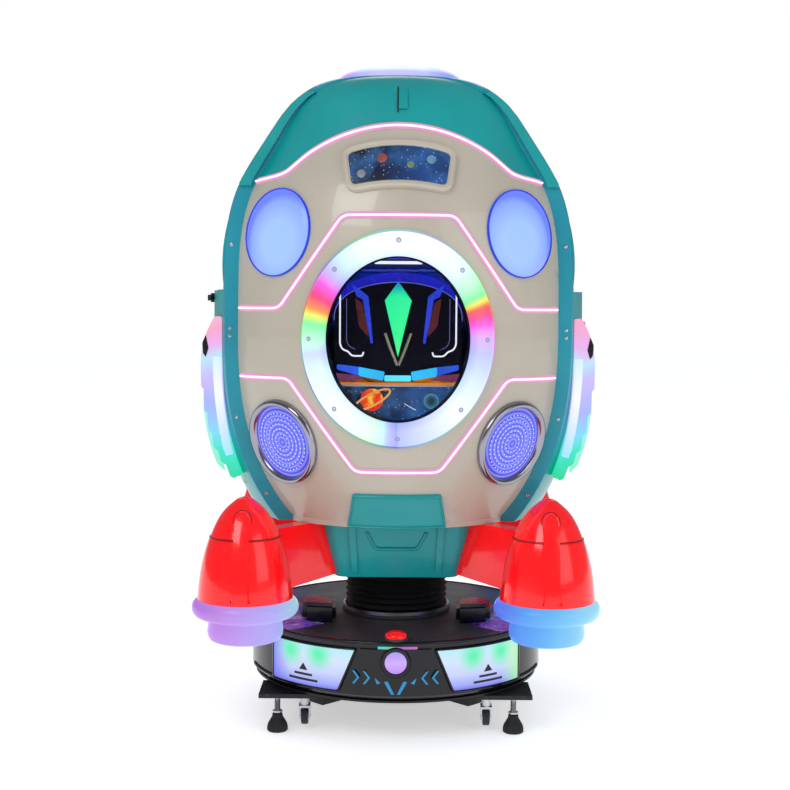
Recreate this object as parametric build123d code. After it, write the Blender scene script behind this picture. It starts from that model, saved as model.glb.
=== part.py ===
from build123d import *
import math
import os

os.makedirs("parts", exist_ok=True)

# A space-capsule kiddie ride. The child sits in a domed capsule that rocks on a lifting turntable over
# a lit round base. Millimetres, +Z up, the front faces -Y, and the origin is on the floor under the
# middle of the machine. X is mirrored left and right. The capsule's shell is turned about Z, but for the
# straight tunnel between the hoops above the half doors.

# Capsule shell: radius against height, as one smooth turned profile.
HULL_PROFILE = [(420, 605), (485, 725), (545, 955), (554, 1240)]
HULL_PROFILE += [(512, 1570), (452, 1686), (355, 1829), (210, 1868)]
HULL_BOTTOM = 605
FLOOR_Z = (HULL_BOTTOM, 617)
CROWN_Z = 1868
WALL = 8
# The front and rear domes sit inside the hoops, by this much at each height of the profile, and meet them
# at the crown.
DOME_INSETS = [30, 30, 30, 30, 30, 26, 6, -3]
DOME_INSET = DOME_INSETS[0]
HOOP_PROUD = 4
HOOP_Y = 250
HOOP_T = 12
Y_IN = HOOP_Y - HOOP_T / 2
Y_OUT = HOOP_Y + HOOP_T / 2
REACH = 800  # longer than any half width, for cutting slabs

# The tunnel's ridge, and the skirt on it that carries the dome lamp, as (radius, height).
RIDGE_Z = 1860
SKIRT = [(188, 1825), (240, 1825), (240, 1836), (206, CROWN_Z), (188, CROWN_Z)]
DOME_LAMP_R = 200
DOME_LAMP_TOP = 1948

# Doorway in each side of the barrel, and the half door in the left one.
DOOR_Y = (-175, 200)
DOOR_Z = (700, 1500)
HALF_DOOR_TOP = 1268
DOOR_GAP = 2
DOOR_HINGE = (-530, 206)
KNUCKLES_Z = (1000, 1180)
KNUCKLE_H = 30
LATCH = (-20, 1244)

# Porthole and front trim, as X half width and Z half height on the front dome.
PORT_Z = 1136
PORT_OUTER = (258, 287)
PORT_INNER = (189, 220)
PORT_HOLE = (200, 232)
RING_PROUD = 14
BEZEL_WIDTH = 18
BEZEL_PROUD = 18
UPPER_LAMP = (333, 1425)
LOWER_LAMP = (318, 845)
LAMP_R = 122.5
LENS_R = 105

# Pods at the four corners.
POD_XY = (415, 460)
POD_R = 131
POD_Z = (425, 704)
POD_RING_R = 147
POD_RING_Z = (381, 425)
POD_FOOT_R = 102
POD_FOOT_Z = (313, 370)

# Base, drum and deck.
DRUM_R = 440
DRUM_Z = (126, 284)
DECK_TOP = 292
BASE_R = 430
INLET = ((-25, 25), (425, 448), (180, 214))
BEAM_Z = (60, 120)
BEAM_REACH = 330  # half the length of a crossed beam, short of the casters
FOOT = (340, 300)
CASTER = (262, 300)
CASTER_TRAIL = 15
WHEEL_R = 25
WHEEL_Z = 40
BUTTON_Y = -400
BUTTON_R = 31
STEM_R = 12

# Turntable drive.
BEARING_Z = (262, 290)
BEARING_R = 70
PULLEY_R = 62
MOTOR_PULLEY_R = 25
MOTOR_X = 235
PULLEY_Z = (200, 226)
TURNTABLE_Z = (294, 302)
FIT = 0.05  # radial clearance of a shaft in its hole
GAP = 0.3  # clearance between curved faces that move past each other

# Lift and rocking axle.
ROD_R = 8
ROD_CIRCLE = 115
ROD_TOP = 492
CARRIAGE_Z = (415, 430)
CARRIAGE_R = 128
PISTON_R = 20
AXLE_Z = 520
AXLE_R = 15
BELLOWS_R = (139, 155)
BELLOWS_FOLDS = 7
BELLOWS_TOP = 430


def block(x, y, z):
    """A box from its (low, high) spans."""
    size = [span[1] - span[0] for span in (x, y, z)]
    middle = [(span[1] + span[0]) / 2 for span in (x, y, z)]
    return Pos(*middle) * Box(*size)


def rod(x, y, z, radius):
    """An upright cylinder with its z span."""
    return Pos(x, y, (z[0] + z[1]) / 2) * Cylinder(radius, z[1] - z[0])


def tube(x, y, z, inner, outer):
    return rod(x, y, z, outer) - rod(x, y, (z[0] - 1, z[1] + 1), inner)


def rod_x(x, y, z, radius):
    return Pos((x[0] + x[1]) / 2, y, z) * Rot(0, 90, 0) * Cylinder(radius, x[1] - x[0])


def rod_y(x, y, z, radius):
    return Pos(x, (y[0] + y[1]) / 2, z) * Rot(90, 0, 0) * Cylinder(radius, y[1] - y[0])


def along_y(sketch, y):
    """A sketch drawn as (X, Z), extruded over a y span."""
    return extrude(Plane.XZ.offset(-y[1]) * sketch, amount=y[1] - y[0], dir=(0, -1, 0))


def along_x(sketch, x):
    """A sketch drawn as (Y, Z), extruded over an x span."""
    return extrude(Plane.YZ.offset(x[0]) * sketch, amount=x[1] - x[0], dir=(1, 0, 0))


def outline(*points):
    return Polygon(*points, align=None)


def turned(edges):
    """A solid turned about Z from edges drawn in the XZ plane."""
    return revolve(make_face(edges), Axis.Z, 360)


def mirrored(shape):
    return [shape, mirror(shape, Plane.YZ)]


def corners(make):
    """One solid per corner, named by side and end."""
    ends, sides = (("front", -1), ("rear", 1)), (("left", -1), ("right", 1))
    return {f"{end}_{side}": make(x, y) for end, y in ends for side, x in sides}


def save(name, shape):
    solids = shape if isinstance(shape, list) else [shape]
    found = [solid for one in solids for solid in one.solids()]
    export_step(found[0] if len(found) == 1 else Compound(children=found), f"parts/{name}.step")


def moved_inward(profile, insets):
    """A profile moved inward along its own normal, by one inset per point."""
    moved = []
    for index, (r, z) in enumerate(profile):
        before = profile[max(index - 1, 0)]
        after = profile[min(index + 1, len(profile) - 1)]
        dr, dz = after[0] - before[0], after[1] - before[1]
        length = math.hypot(dr, dz)
        moved.append((r - insets[index] * dz / length, z + insets[index] * dr / length))
    return moved


FORMS = {}


def turned_form(insets):
    """The solid inside the moved profile. All but the hull itself reach down past its bottom edge."""
    if insets not in FORMS:
        points = [(r, 0, z) for r, z in moved_inward(HULL_PROFILE, insets)]
        start, end = points[0], points[-1]
        floor_z = HULL_BOTTOM - 40 if any(insets) else HULL_BOTTOM
        edges = [Spline(*points), Line(end, (0, 0, end[2])), Line((0, 0, end[2]), (0, 0, floor_z))]
        edges += [Line((0, 0, floor_z), (start[0], 0, floor_z))]
        if start[2] != floor_z:
            edges += [Line((start[0], 0, floor_z), start)]
        FORMS[insets] = turned(edges)
    return FORMS[insets]


def hull(inward):
    """The solid inside the barrel's surface moved inward."""
    return turned_form((inward,) * len(HULL_PROFILE))


def dome(inward):
    """The solid inside the front and rear domes' surface moved inward."""
    return turned_form(tuple(inset + inward for inset in DOME_INSETS))


def layer_between(outer, inner):
    """The layer between two turned forms, above the shell's bottom edge."""
    return (outer - inner) & block((-REACH, REACH), (-REACH, REACH), (HULL_BOTTOM, CROWN_Z + 60))


def front_trim(outer, inner, sketch):
    """A layer of the front dome inside an outline drawn as (X, Z), from one depth to another."""
    return layer_between(dome(outer), dome(inner)) & along_y(sketch, (-REACH, -Y_OUT))


# ---------------------------------------------------------------- capsule shell


def hood_line():
    """The area of the front below the line where the hood meets the panel."""
    left = [(-REACH, 1571), (-413, 1571), (-340, 1580), (-310, 1589), (-253, 1636)]
    right = [(-x, z) for x, z in reversed(left)]
    edges = [Polyline(*left), ThreePointArc(left[-1], (0, 1713), right[0]), Polyline(*right)]
    edges += [Polyline(right[-1], (REACH, 500), (-REACH, 500), left[0])]
    return make_face(edges)


def front_shell():
    front = layer_between(dome(0), dome(WALL)) & block((-REACH, REACH), (-REACH, -Y_OUT), (0, 2000))
    below = along_y(hood_line(), (-REACH, 0))
    port = along_y(Pos(0, PORT_Z) * Ellipse(*PORT_HOLE), (-REACH, 0))
    save("front_panel", (front & below) - port)
    save("front_hood", front - below)


def rear_shell():
    save("rear_shell", layer_between(dome(0), dome(WALL)) & block((-REACH, REACH), (Y_OUT, REACH), (0, 2000)))


def tunnel(inward):
    """The straight form between the hoops above the half doors, moved inward, with the hoops' own outline."""
    upper = [(math.sqrt(r**2 - HOOP_Y**2), z) for r, z in HULL_PROFILE[3:-1]]
    right = moved_inward(upper, [inward] * len(upper))
    points = right + [(0, RIDGE_Z - inward)] + [(-x, z) for x, z in reversed(right)]
    section = make_face([Spline(*points), Line(points[-1], points[0])])
    return along_y(section, (-Y_IN, Y_IN))


def barrel():
    """Side walls that swell out up to the half door's height, with a ledge on top, and the tunnel above."""
    across, along = (-REACH, REACH), (-Y_IN, Y_IN)
    lower = layer_between(hull(0), hull(WALL)) & block(across, along, (0, HALF_DOOR_TOP))
    ledge = (hull(0) - tunnel(WALL)) & block(across, along, (HALF_DOOR_TOP - WALL, HALF_DOOR_TOP))
    upper = tunnel(0) - tunnel(WALL)
    skirt = turned([Polyline(*[(r, 0, z) for r, z in SKIRT], (SKIRT[0][0], 0, SKIRT[0][1]))]) - tunnel(WALL)
    save("barrel_roof", (upper & block(across, along, (DOOR_Z[1], 2000))) + skirt)
    walls = lower + ledge + (upper & block(across, along, (HALF_DOOR_TOP, DOOR_Z[1])))
    save("barrel_left", (walls & block((-REACH, 0), along, (0, 2000))) - block((-REACH, 0), DOOR_Y, DOOR_Z))
    window = block((0, REACH), DOOR_Y, (HALF_DOOR_TOP, DOOR_Z[1]))
    save("barrel_right", (walls & block((0, REACH), along, (0, 2000))) - window)


def hoops():
    band = layer_between(hull(-HOOP_PROUD), hull(DOME_INSET + WALL))
    save("front_hoop", band & block((-REACH, REACH), (-Y_OUT, -Y_IN), (0, 2000)))
    save("rear_hoop", band & block((-REACH, REACH), (Y_IN, Y_OUT), (0, 2000)))


def crown_form(radius, low, top):
    """A shallow dome on a short upright side."""
    shoulder = 1880
    edges = [Line((0, 0, low), (radius, 0, low)), Line((radius, 0, low), (radius, 0, shoulder))]
    middle = (radius * 0.75, 0, shoulder + (top - shoulder) * 0.72)
    arc = Spline((radius, 0, shoulder), middle, (0, 0, top), tangents=[(0, 0, 1), (-1, 0, 0)])
    return turned(edges + [arc, Line((0, 0, top), (0, 0, low))])


def dome_lamp():
    inside = crown_form(DOME_LAMP_R - 6, CROWN_Z - 5, DOME_LAMP_TOP - 6)
    save("dome_lamp", crown_form(DOME_LAMP_R, CROWN_Z, DOME_LAMP_TOP) - inside)


def half_door():
    """The left half door with its two hinge knuckles, and the pins on the post."""
    x, y = DOOR_HINGE
    width = (DOOR_Y[0] + DOOR_GAP, DOOR_Y[1] - DOOR_GAP)
    height = (DOOR_Z[0] + DOOR_GAP, HALF_DOOR_TOP - DOOR_GAP)
    door = layer_between(hull(0), hull(WALL)) & block((-REACH, 0), width, height)
    pins = []
    for low in KNUCKLES_Z:
        span = (low, low + KNUCKLE_H)
        strap = block((x - 4, x + 25), (y - 60, y - 6), span) - hull(2)
        door += strap + rod(x, y, span, 9)
        door -= rod(x, y, (low - 1, span[1] + 1), 4 + FIT)
        cap = (span[1] + GAP, span[1] + 10)
        bracket = block((x - 6, x + 25), (y - 6, Y_IN - 4), cap) - hull(-GAP)
        pins.append(bracket + rod(x, y, (low - 3, cap[1]), 4))
    door -= rod_x((-REACH, 0), *LATCH, 6 + FIT)
    save("side_door", door)
    save("door_hinges", pins)


def door_latch():
    y, z = LATCH
    knob = rod_x((-566, -556), y, z, 14)
    lever = block((-566, -557), (y - 70, y), (z - 7, z + 7)) + rod_x((-566, -557), y - 70, z, 9)
    shaft = rod_x((-557, -530), y, z, 6)
    tongue = block((-537, -530), (y - 8, y + 8), (z - 30, z + 8))
    save("door_latch", knob + lever + shaft + tongue)


# ---------------------------------------------------------------- front trim


def porthole():
    centre = Pos(0, PORT_Z)
    band = centre * Ellipse(*PORT_OUTER) - centre * Ellipse(*PORT_INNER)
    save("porthole_ring", front_trim(-RING_PROUD, -GAP, band))
    glass = centre * Ellipse(PORT_HOLE[0] - 1, PORT_HOLE[1] - 1)
    save("porthole_glass", front_trim(1, 6, glass))


def marquee_area():
    """A fan-shaped sign outline, arched along its top and bottom."""
    top = ThreePointArc((-132, 1630), (0, 1652), (132, 1630))
    bottom = ThreePointArc((119, 1546), (0, 1560), (-119, 1546))
    return make_face([top, Line((132, 1630), (119, 1546)), bottom, Line((-119, 1546), (-132, 1630))])


def marquee():
    inside = marquee_area()
    outside = offset(inside, BEZEL_WIDTH)
    save("marquee", front_trim(-BEZEL_PROUD, -GAP, outside) - front_trim(-BEZEL_PROUD - 1, -8, inside))


def lamp_place(x, z):
    """A plane on the front dome at (x, z), facing along the surface's normal."""
    pairs = list(zip(HULL_PROFILE, HULL_PROFILE[1:]))
    low, high = next(pair for pair in pairs if pair[0][1] <= z <= pair[1][1])
    slope = (high[0] - low[0]) / (high[1] - low[1])
    radius = low[0] + slope * (z - low[1]) - DOME_INSET
    y = -math.sqrt(radius**2 - x**2)
    return Plane(origin=(x, y, z), x_dir=(-y, x, 0), z_dir=(x / radius, y / radius, -slope))


def lamps():
    """Two domed lamps above and two ringed lamps below, seated on the curved front."""
    upper, lower = [], []
    for side in (-1, 1):
        domed = Cylinder(LAMP_R, 60) + Pos(0, 0, 30) * scale(Sphere(LAMP_R), (1, 1, 0.16))
        place = lamp_place(side * UPPER_LAMP[0], UPPER_LAMP[1])
        upper.append(place.location * Pos(0, 0, -8) * domed - dome(-GAP))
        place = lamp_place(side * LOWER_LAMP[0], LOWER_LAMP[1])
        ringed = Cylinder(LAMP_R, 76) - Pos(0, 0, 34) * Cylinder(LENS_R, 20)
        lower.append(place.location * Pos(0, 0, -14) * ringed - dome(-GAP))
    save("upper_lamps", upper)
    save("lower_lamps", lower)


def wing_lamps():
    """Upright fins on the front door posts, stepped like feathers down their outer edge."""
    edge = [(530, 1190), (550, 1150), (564, 1110), (569, 1060), (568, 985), (561, 985), (559, 915)]
    edge += [(551, 915), (547, 862), (538, 862), (532, 812), (521, 812), (512, 773), (501, 773), (482, 723)]
    fin = along_y(outline((470, 1190), *edge, (430, 723)), (-235, -177)) - hull(-GAP)
    save("wing_lamps", mirrored(fin))


# ---------------------------------------------------------------- under the capsule


def belly_form(shrink):
    top = Pos(0, 0, HULL_BOTTOM) * RectangleRounded(2 * (215 - shrink), 2 * (300 - shrink), 40)
    bottom = Pos(0, 0, 437) * RectangleRounded(2 * (181 - shrink), 2 * (240 - shrink), 40)
    return loft([bottom, top])


def belly_fairing():
    save("belly_fairing", belly_form(0) - belly_form(6))


def pod_form(inset):
    """A bullet whose side leans in all the way up to a rounded tip."""
    bottom, top = POD_Z[0] - inset, POD_Z[1] - inset
    side = [(POD_R, bottom), (122, 504), (93, 604), (54, 670)]
    points = [(r - inset, 0, z) for r, z in side] + [(0, 0, top)]
    edges = [Line((0, 0, bottom), points[0]), Spline(*points, tangents=[(0, 0, 1), (-1, 0, 0)])]
    return turned(edges + [Line((0, 0, top), (0, 0, bottom))])


def pods():
    shell = pod_form(0) - pod_form(5)
    shells = corners(lambda sx, sy: Pos(sx * POD_XY[0], sy * POD_XY[1], 0) * shell)
    save("pod_shells", list(shells.values()))
    rings, feet = [], []
    for sx in (-1, 1):
        for sy in (-1, 1):
            x, y = sx * POD_XY[0], sy * POD_XY[1]
            ring = rod(x, y, POD_RING_Z, POD_RING_R)
            ring = fillet(ring.edges().filter_by(GeomType.CIRCLE), 16)
            rings.append(ring - rod(x, y, (300, 500), 108))
            cup = rod(x, y, POD_FOOT_Z, POD_FOOT_R)
            cup = fillet(cup.edges().filter_by(GeomType.CIRCLE).sort_by(Axis.Z)[0], 18)
            feet.append(cup - rod(x, y, (POD_FOOT_Z[0] + 8, 400), POD_FOOT_R - 20))
            feet.append(rod(x, y, (POD_FOOT_Z[1], POD_RING_Z[0]), 114))
    save("pod_lamp_rings", rings)
    save("pod_base_lamps", feet)


def pod_struts():
    """Four deep webs that carry the pods off the corners of the belly."""
    side = outline((260, 604.5), (570, 604.5), (570, 430), (470, 430), (260, 446))
    angle = math.degrees(math.atan2(POD_XY[1], POD_XY[0]))
    web = Rot(0, 0, angle) * along_y(side, (-23, 23))
    web = web - belly_form(0) - Pos(*POD_XY, 0) * pod_form(-GAP)
    web = max(web.solids(), key=lambda solid: solid.volume)
    save("pod_struts", [piece for half in mirrored(web) for piece in (half, mirror(half, Plane.XZ))])


def floor():
    """The cabin floor, and the two beams below it that hang on the rocking axle."""
    slab = block((-REACH, REACH), (-REACH, REACH), FLOOR_Z)
    inner = dome(WALL + GAP) & slab
    middle = hull(WALL + GAP) & slab & block((-REACH, REACH), (-Y_IN, Y_IN), (0, 700))
    save("cabin_floor", inner + middle)
    beams = []
    for side in (-1, 1):
        x = sorted((side * 100, side * 125))
        ear = block(sorted((side * 100, side * 118)), (-30, 30), (AXLE_Z - 30, 576))
        beam = block(x, (-280, 280), (575, HULL_BOTTOM)) + ear
        beams.append(beam - rod_x((-200, 200), 0, AXLE_Z, AXLE_R + 0.02))
    save("floor_beams", beams)
    save("rock_axle", rod_x((-125, 125), 0, AXLE_Z, AXLE_R))


# ---------------------------------------------------------------- cabin


CONSOLE_WALL = 6
CONSOLE_SIDE = [(-395, 1010), (-395, 1190), (-350, 1240), (-230, 1262)]
CONSOLE_SIDE += [(-140, 1130), (-160, 1010), (-250, 930), (-340, 930)]
CONSOLE_X = 190
POST_X = 60
POST_Y = (-335, -230)
WHEEL_FACE = Plane(origin=(0, -185, 1196), x_dir=(1, 0, 0), z_dir=(0, 0.826, 0.563))


def console():
    """A hollow ship's nose on a hollow post, with a bearing boss for the steering column, and the wheel."""
    side = outline(*CONSOLE_SIDE)
    inner_x, inner_post = CONSOLE_X - CONSOLE_WALL, POST_X - CONSOLE_WALL
    inner_y = (POST_Y[0] + CONSOLE_WALL, POST_Y[1] - CONSOLE_WALL)
    nose = along_x(side, (-CONSOLE_X, CONSOLE_X))
    nose += block((-POST_X, POST_X), POST_Y, (FLOOR_Z[1], 935))
    nose -= along_x(offset(side, -CONSOLE_WALL), (-inner_x, inner_x))
    nose -= block((-inner_post, inner_post), inner_y, (600, 940))
    nose += WHEEL_FACE.location * Pos(0, 0, -20) * Cylinder(22, 40)
    nose -= WHEEL_FACE.location * Pos(0, 0, -25) * Cylinder(STEM_R + FIT, 60)
    save("console", nose)
    column = Pos(0, 0, 8) * Cylinder(STEM_R, 84)
    rim = Pos(0, 0, 50) * Torus(82, 11)
    spokes = Pos(0, 0, 50) * (Box(164, 16, 8) + Pos(0, -41, 0) * Box(16, 82, 8) + Cylinder(26, 20))
    save("steering_wheel", WHEEL_FACE.location * (column + rim + spokes))


def seat():
    top = 860
    box = block((-195, 195), (60, 330), (FLOOR_Z[1], top - 9))
    box -= block((-187, 187), (68, 322), (600, top - 9))
    pan = block((-230, 230), (60, 372), (top - 10, top))
    backboard = block((-230, 230), (352, 372), (top - 1, 1380))
    save("seat_bench", box + pan + backboard)
    cushion = block((-225, 225), (60, 300), (top, top + 60))
    save("seat_cushion", fillet(cushion.edges(), 14))
    back = block((-225, 225), (302, 351.7), (top + 62, 1370))
    save("back_cushion", fillet(back.edges(), 14))


# ---------------------------------------------------------------- lift


def rod_places():
    turns = [math.radians(degrees) for degrees in (90, 210, 330)]
    return [(ROD_CIRCLE * math.cos(turn), ROD_CIRCLE * math.sin(turn)) for turn in turns]


def lift():
    carriage = rod(0, 0, CARRIAGE_Z, CARRIAGE_R)
    for side in (-1, 1):
        carriage += block(sorted((side * 70, side * 90)), (-40, 40), (CARRIAGE_Z[1] - 1, AXLE_Z + 32))
    carriage -= rod_x((-200, 200), 0, AXLE_Z, AXLE_R + FIT)
    for x, y in rod_places():
        carriage -= rod(x, y, (400, 450), ROD_R + FIT)
    save("lift_carriage", carriage)
    save("actuator_rod", rod(0, 0, (312, CARRIAGE_Z[0]), PISTON_R))
    drive = block((-45, 45), (-45, 45), (470, 556)) + block((-45, 45), (-30, 30), (CARRIAGE_Z[1], 471))
    drive += rod_y(0, (-150, -44), 500, 32)
    save("rock_gearmotor", drive - rod_x((-200, 200), 0, AXLE_Z, AXLE_R + FIT))


def bellows():
    """A pleated rubber tube; each fold is a peak and a valley."""
    step = (BELLOWS_TOP - TURNTABLE_Z[1]) / (2 * BELLOWS_FOLDS)
    heights = [TURNTABLE_Z[1] + step * i for i in range(2 * BELLOWS_FOLDS + 1)]
    outer = [(BELLOWS_R[1 - i % 2], 0, z) for i, z in enumerate(heights)]
    inner = [(r - 5, 0, z) for r, _, z in reversed(outer)]
    save("bellows", turned([Polyline(*outer, *inner, outer[0])]))


# ---------------------------------------------------------------- turntable drive


def turntable():
    plate = rod(0, 0, TURNTABLE_Z, 165)
    for x, y in rod_places():
        plate += rod(x, y, (TURNTABLE_Z[1] - 1, ROD_TOP), ROD_R)
    save("turntable_plate", plate)
    save("actuator_barrel", rod(0, 0, (TURNTABLE_Z[1], 400), 32) - rod(0, 0, (310, 401), PISTON_R + FIT))
    save("bearing_inner_ring", tube(0, 0, (BEARING_Z[0], TURNTABLE_Z[0]), 45, BEARING_R - FIT))
    hub = tube(0, 0, (PULLEY_Z[1] - 1, BEARING_Z[0]), 20, 55)
    save("driven_pulley", tube(0, 0, PULLEY_Z, 20, PULLEY_R) + hub)
    stand = tube(0, 0, (DRUM_Z[0], 134), 75, 110) + tube(0, 0, BEARING_Z, BEARING_R, 95)
    for angle in (60, 120, 240, 300):
        x, y = 86 * math.cos(math.radians(angle)), 86 * math.sin(math.radians(angle))
        stand += rod(x, y, (133, BEARING_Z[0] + 1), 8)
    save("bearing_housing", stand)


def belt_area(grow):
    """The area inside a belt round both pulleys, as two arcs and the two straight runs between them."""
    big, small = PULLEY_R + grow, MOTOR_PULLEY_R + grow
    lean = math.asin((big - small) / MOTOR_X)
    near = (big * math.sin(lean), big * math.cos(lean))
    far = (MOTOR_X + small * math.sin(lean), small * math.cos(lean))
    near_below, far_below = (near[0], -near[1]), (far[0], -far[1])
    round_big = ThreePointArc(near, (-big, 0), near_below)
    round_small = ThreePointArc(far_below, (MOTOR_X + small, 0), far)
    return make_face([round_big, Line(near_below, far_below), round_small, Line(far, near)])


def belt_drive():
    loop = belt_area(GAP + 3.5) - belt_area(GAP)
    save("drive_belt", extrude(Plane.XY.offset(PULLEY_Z[0] + 1) * loop, amount=24, dir=(0, 0, 1)))
    shaft = rod(MOTOR_X, 0, (160, PULLEY_Z[0] + 1), 8)
    save("motor_pulley", rod(MOTOR_X, 0, PULLEY_Z, MOTOR_PULLEY_R) + shaft)
    motor = rod(MOTOR_X, 0, (DRUM_Z[0], 190), 52)
    motor += block((MOTOR_X - 52, MOTOR_X + 52), (0, 150), (DRUM_Z[0], 176))
    save("gear_motor", motor - rod(MOTOR_X, 0, (160, 191), 8 + FIT))


# ---------------------------------------------------------------- base


def base_frame():
    """A round plate on two crossed box beams, with a plate under each corner for a foot and a caster."""
    frame = rod(0, 0, (BEAM_Z[1], DRUM_Z[0]), BASE_R)
    for angle in (45, -45):
        frame += Rot(0, 0, angle) * block((-BEAM_REACH, BEAM_REACH), (-30, 30), (BEAM_Z[0], BEAM_Z[1] + 1))
    for sx in (-1, 1):
        for sy in (-1, 1):
            frame += block(sorted((sx * 205, sx * 390)), sorted((sy * 205, sy * 350)), (108, BEAM_Z[1]))
            frame -= rod(sx * FOOT[0], sy * FOOT[1], (50, 119), 6 + FIT)
            frame -= rod(sx * CASTER[0], sy * CASTER[1], (50, 119), 6 + FIT)
    save("base_frame", frame)


def foot(sx, sy):
    x, y = sx * FOOT[0], sy * FOOT[1]
    pad = rod(x, y, (0, 10), 30) + Pos(x, y, 16) * Cone(24, 12, 12)
    nut = Pos(x, y, 97) * extrude(RegularPolygon(11, 6), amount=11)
    return pad + rod(x, y, (20, 118), 6) + nut


def caster_fork(sx, sy):
    x, y = sx * CASTER[0], sy * CASTER[1]
    axle_y = y + CASTER_TRAIL
    fork = block((x - 16, x + 16), (y - 14, axle_y + 12), (70, 76))
    fork += rod(x, y, (75, 118), 6) + rod(x, y, (75, 100), 12)
    for side in (-1, 1):
        cheek = sorted((x + side * 12, x + side * 16))
        fork += block(cheek, (axle_y - 10, axle_y + 12), (WHEEL_Z - 8, 71))
    return fork + rod_x((x - 17, x + 17), axle_y, WHEEL_Z, 4)


def caster_wheel(sx, sy):
    x, y = sx * CASTER[0], sy * CASTER[1] + CASTER_TRAIL
    tyre = rod_x((x - 10, x + 10), y, WHEEL_Z, WHEEL_R)
    tyre = fillet(tyre.edges().filter_by(GeomType.CIRCLE), 4)
    return tyre - rod_x((x - 20, x + 20), y, WHEEL_Z, 4 + FIT)


def feet_and_casters():
    save("levelling_feet", list(corners(foot).values()))
    for place, fork in corners(caster_fork).items():
        save(f"caster_fork_{place}", fork)
    for place, wheel in corners(caster_wheel).items():
        save(f"caster_wheel_{place}", wheel)


def drum():
    low, high = DRUM_Z
    outer = [(419, 0, low), (425, 0, low), (DRUM_R, 0, low + 16), (DRUM_R, 0, high), (434, 0, high)]
    inner = [(434, 0, low + 19)]
    shell = turned([Polyline(*outer, *inner, outer[0])])
    save("drum_shell", shell - block(*INLET))
    save("power_inlet", block(*INLET) - block((-15, 15), (440, 460), (187, 207)))
    deck = rod(0, 0, (high, DECK_TOP), DRUM_R) - rod(0, 0, (200, 400), 97)
    deck += tube(0, BUTTON_Y, (DECK_TOP - 1, DECK_TOP + 8), BUTTON_R + 1, BUTTON_R + 8)
    save("deck_plate", deck - rod(0, BUTTON_Y, (200, DECK_TOP + 1), STEM_R + FIT))
    cap = Pos(0, BUTTON_Y, 300) * scale(Sphere(BUTTON_R), (1, 1, 0.6))
    cap = cap & block((-50, 50), (-460, -360), (300, 330))
    cap += rod(0, BUTTON_Y, (298, 300.5), BUTTON_R)
    save("start_button", cap + rod(0, BUTTON_Y, (262, 299), STEM_R))


def drum_lights():
    """Curved windows either side of the front, and a round headlight on a boss between them."""
    layer = tube(0, 0, (140, 280), DRUM_R + GAP, DRUM_R + 7)
    window = along_y(outline((112, 272), (360, 272), (360, 147), (162, 147)), (-REACH, 0))
    save("drum_windows", mirrored(layer & window))
    boss = layer & along_y(outline((-100, 275), (100, 275), (60, 148), (-60, 148)), (-REACH, 0))
    lens = rod_y(0, (-452, -430), 240, 33) - rod(0, 0, (100, 300), DRUM_R + GAP)
    save("headlight", boss + lens)


def power_supply():
    save("power_supply", block((-330, -170), (-80, 120), (DRUM_Z[0], 200)))


for make in (
    front_shell, rear_shell, barrel, hoops, dome_lamp, half_door, door_latch, porthole, marquee, lamps,
    wing_lamps, belly_fairing, pods, pod_struts, floor, console, seat, lift, bellows, turntable,
    belt_drive, base_frame, feet_and_casters, drum, drum_lights, power_supply,
):
    make()
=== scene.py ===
import math

import bmesh
import bpy
import numpy as np
from mathutils import Matrix, Quaternion, Vector
from mathutils.bvhtree import BVHTree


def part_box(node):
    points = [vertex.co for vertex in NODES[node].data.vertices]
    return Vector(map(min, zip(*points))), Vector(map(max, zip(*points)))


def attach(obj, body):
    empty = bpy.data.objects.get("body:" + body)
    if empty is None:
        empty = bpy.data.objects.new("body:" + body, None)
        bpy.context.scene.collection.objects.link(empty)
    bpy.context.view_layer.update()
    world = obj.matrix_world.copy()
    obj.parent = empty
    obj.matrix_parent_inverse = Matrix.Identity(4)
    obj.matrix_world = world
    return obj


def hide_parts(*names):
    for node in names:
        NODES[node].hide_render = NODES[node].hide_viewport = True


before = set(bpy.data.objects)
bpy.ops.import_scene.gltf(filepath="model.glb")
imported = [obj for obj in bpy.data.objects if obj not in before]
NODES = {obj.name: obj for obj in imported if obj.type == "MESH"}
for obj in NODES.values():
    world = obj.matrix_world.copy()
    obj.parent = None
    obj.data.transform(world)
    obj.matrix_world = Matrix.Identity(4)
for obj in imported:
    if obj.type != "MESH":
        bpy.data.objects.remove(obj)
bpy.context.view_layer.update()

# Metres, in the CAD frame: +Z up, the front faces -Y.
TAU = 2 * math.pi

# The capsule's turned shell, as in the CAD model: radius against height, and how far the domes sit inside it.
HULL_PROFILE = [(.420, .605), (.485, .725), (.545, .955), (.554, 1.240), (.512, 1.570), (.452, 1.686),
    (.355, 1.829), (.210, 1.868)]
DOME_INSETS = [.030, .030, .030, .030, .030, .026, .006, -.003]
HOOP_FRONT = -.256
PORT_Z = 1.136
PORT_MID = (.2235, .2535)
PORT_HALF_WIDTH = .0345
UPPER_LAMP = (.333, 1.425)
LOWER_LAMP = (.318, .845)
POD_XY = (.415, .460)
DRUM_R = .440
SIDES = (-1, 1)
SIDE_NAMES = {"left": -1, "right": 1}
END_NAMES = {"front": -1, "rear": 1}


# ---------------------------------------------------------------- camera, light and stage


def place_object(name, data, place=(0, 0, 0)):
    """A new object in the scene."""
    made = bpy.data.objects.new(name, data)
    made.location = place
    bpy.context.collection.objects.link(made)
    return made


def build_camera():
    data = bpy.data.cameras.new("camera")
    data.sensor_width = 36
    data.lens = 62.8
    camera = place_object("camera", data, (0, -4.2, 1.25))
    aim = Vector((-.008, 0, .951)) - camera.location
    roll = Quaternion((0, 0, 1), math.radians(.4))
    camera.rotation_euler = (aim.to_track_quat("-Z", "Y") @ roll).to_euler()
    bpy.context.scene.camera = camera


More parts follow.
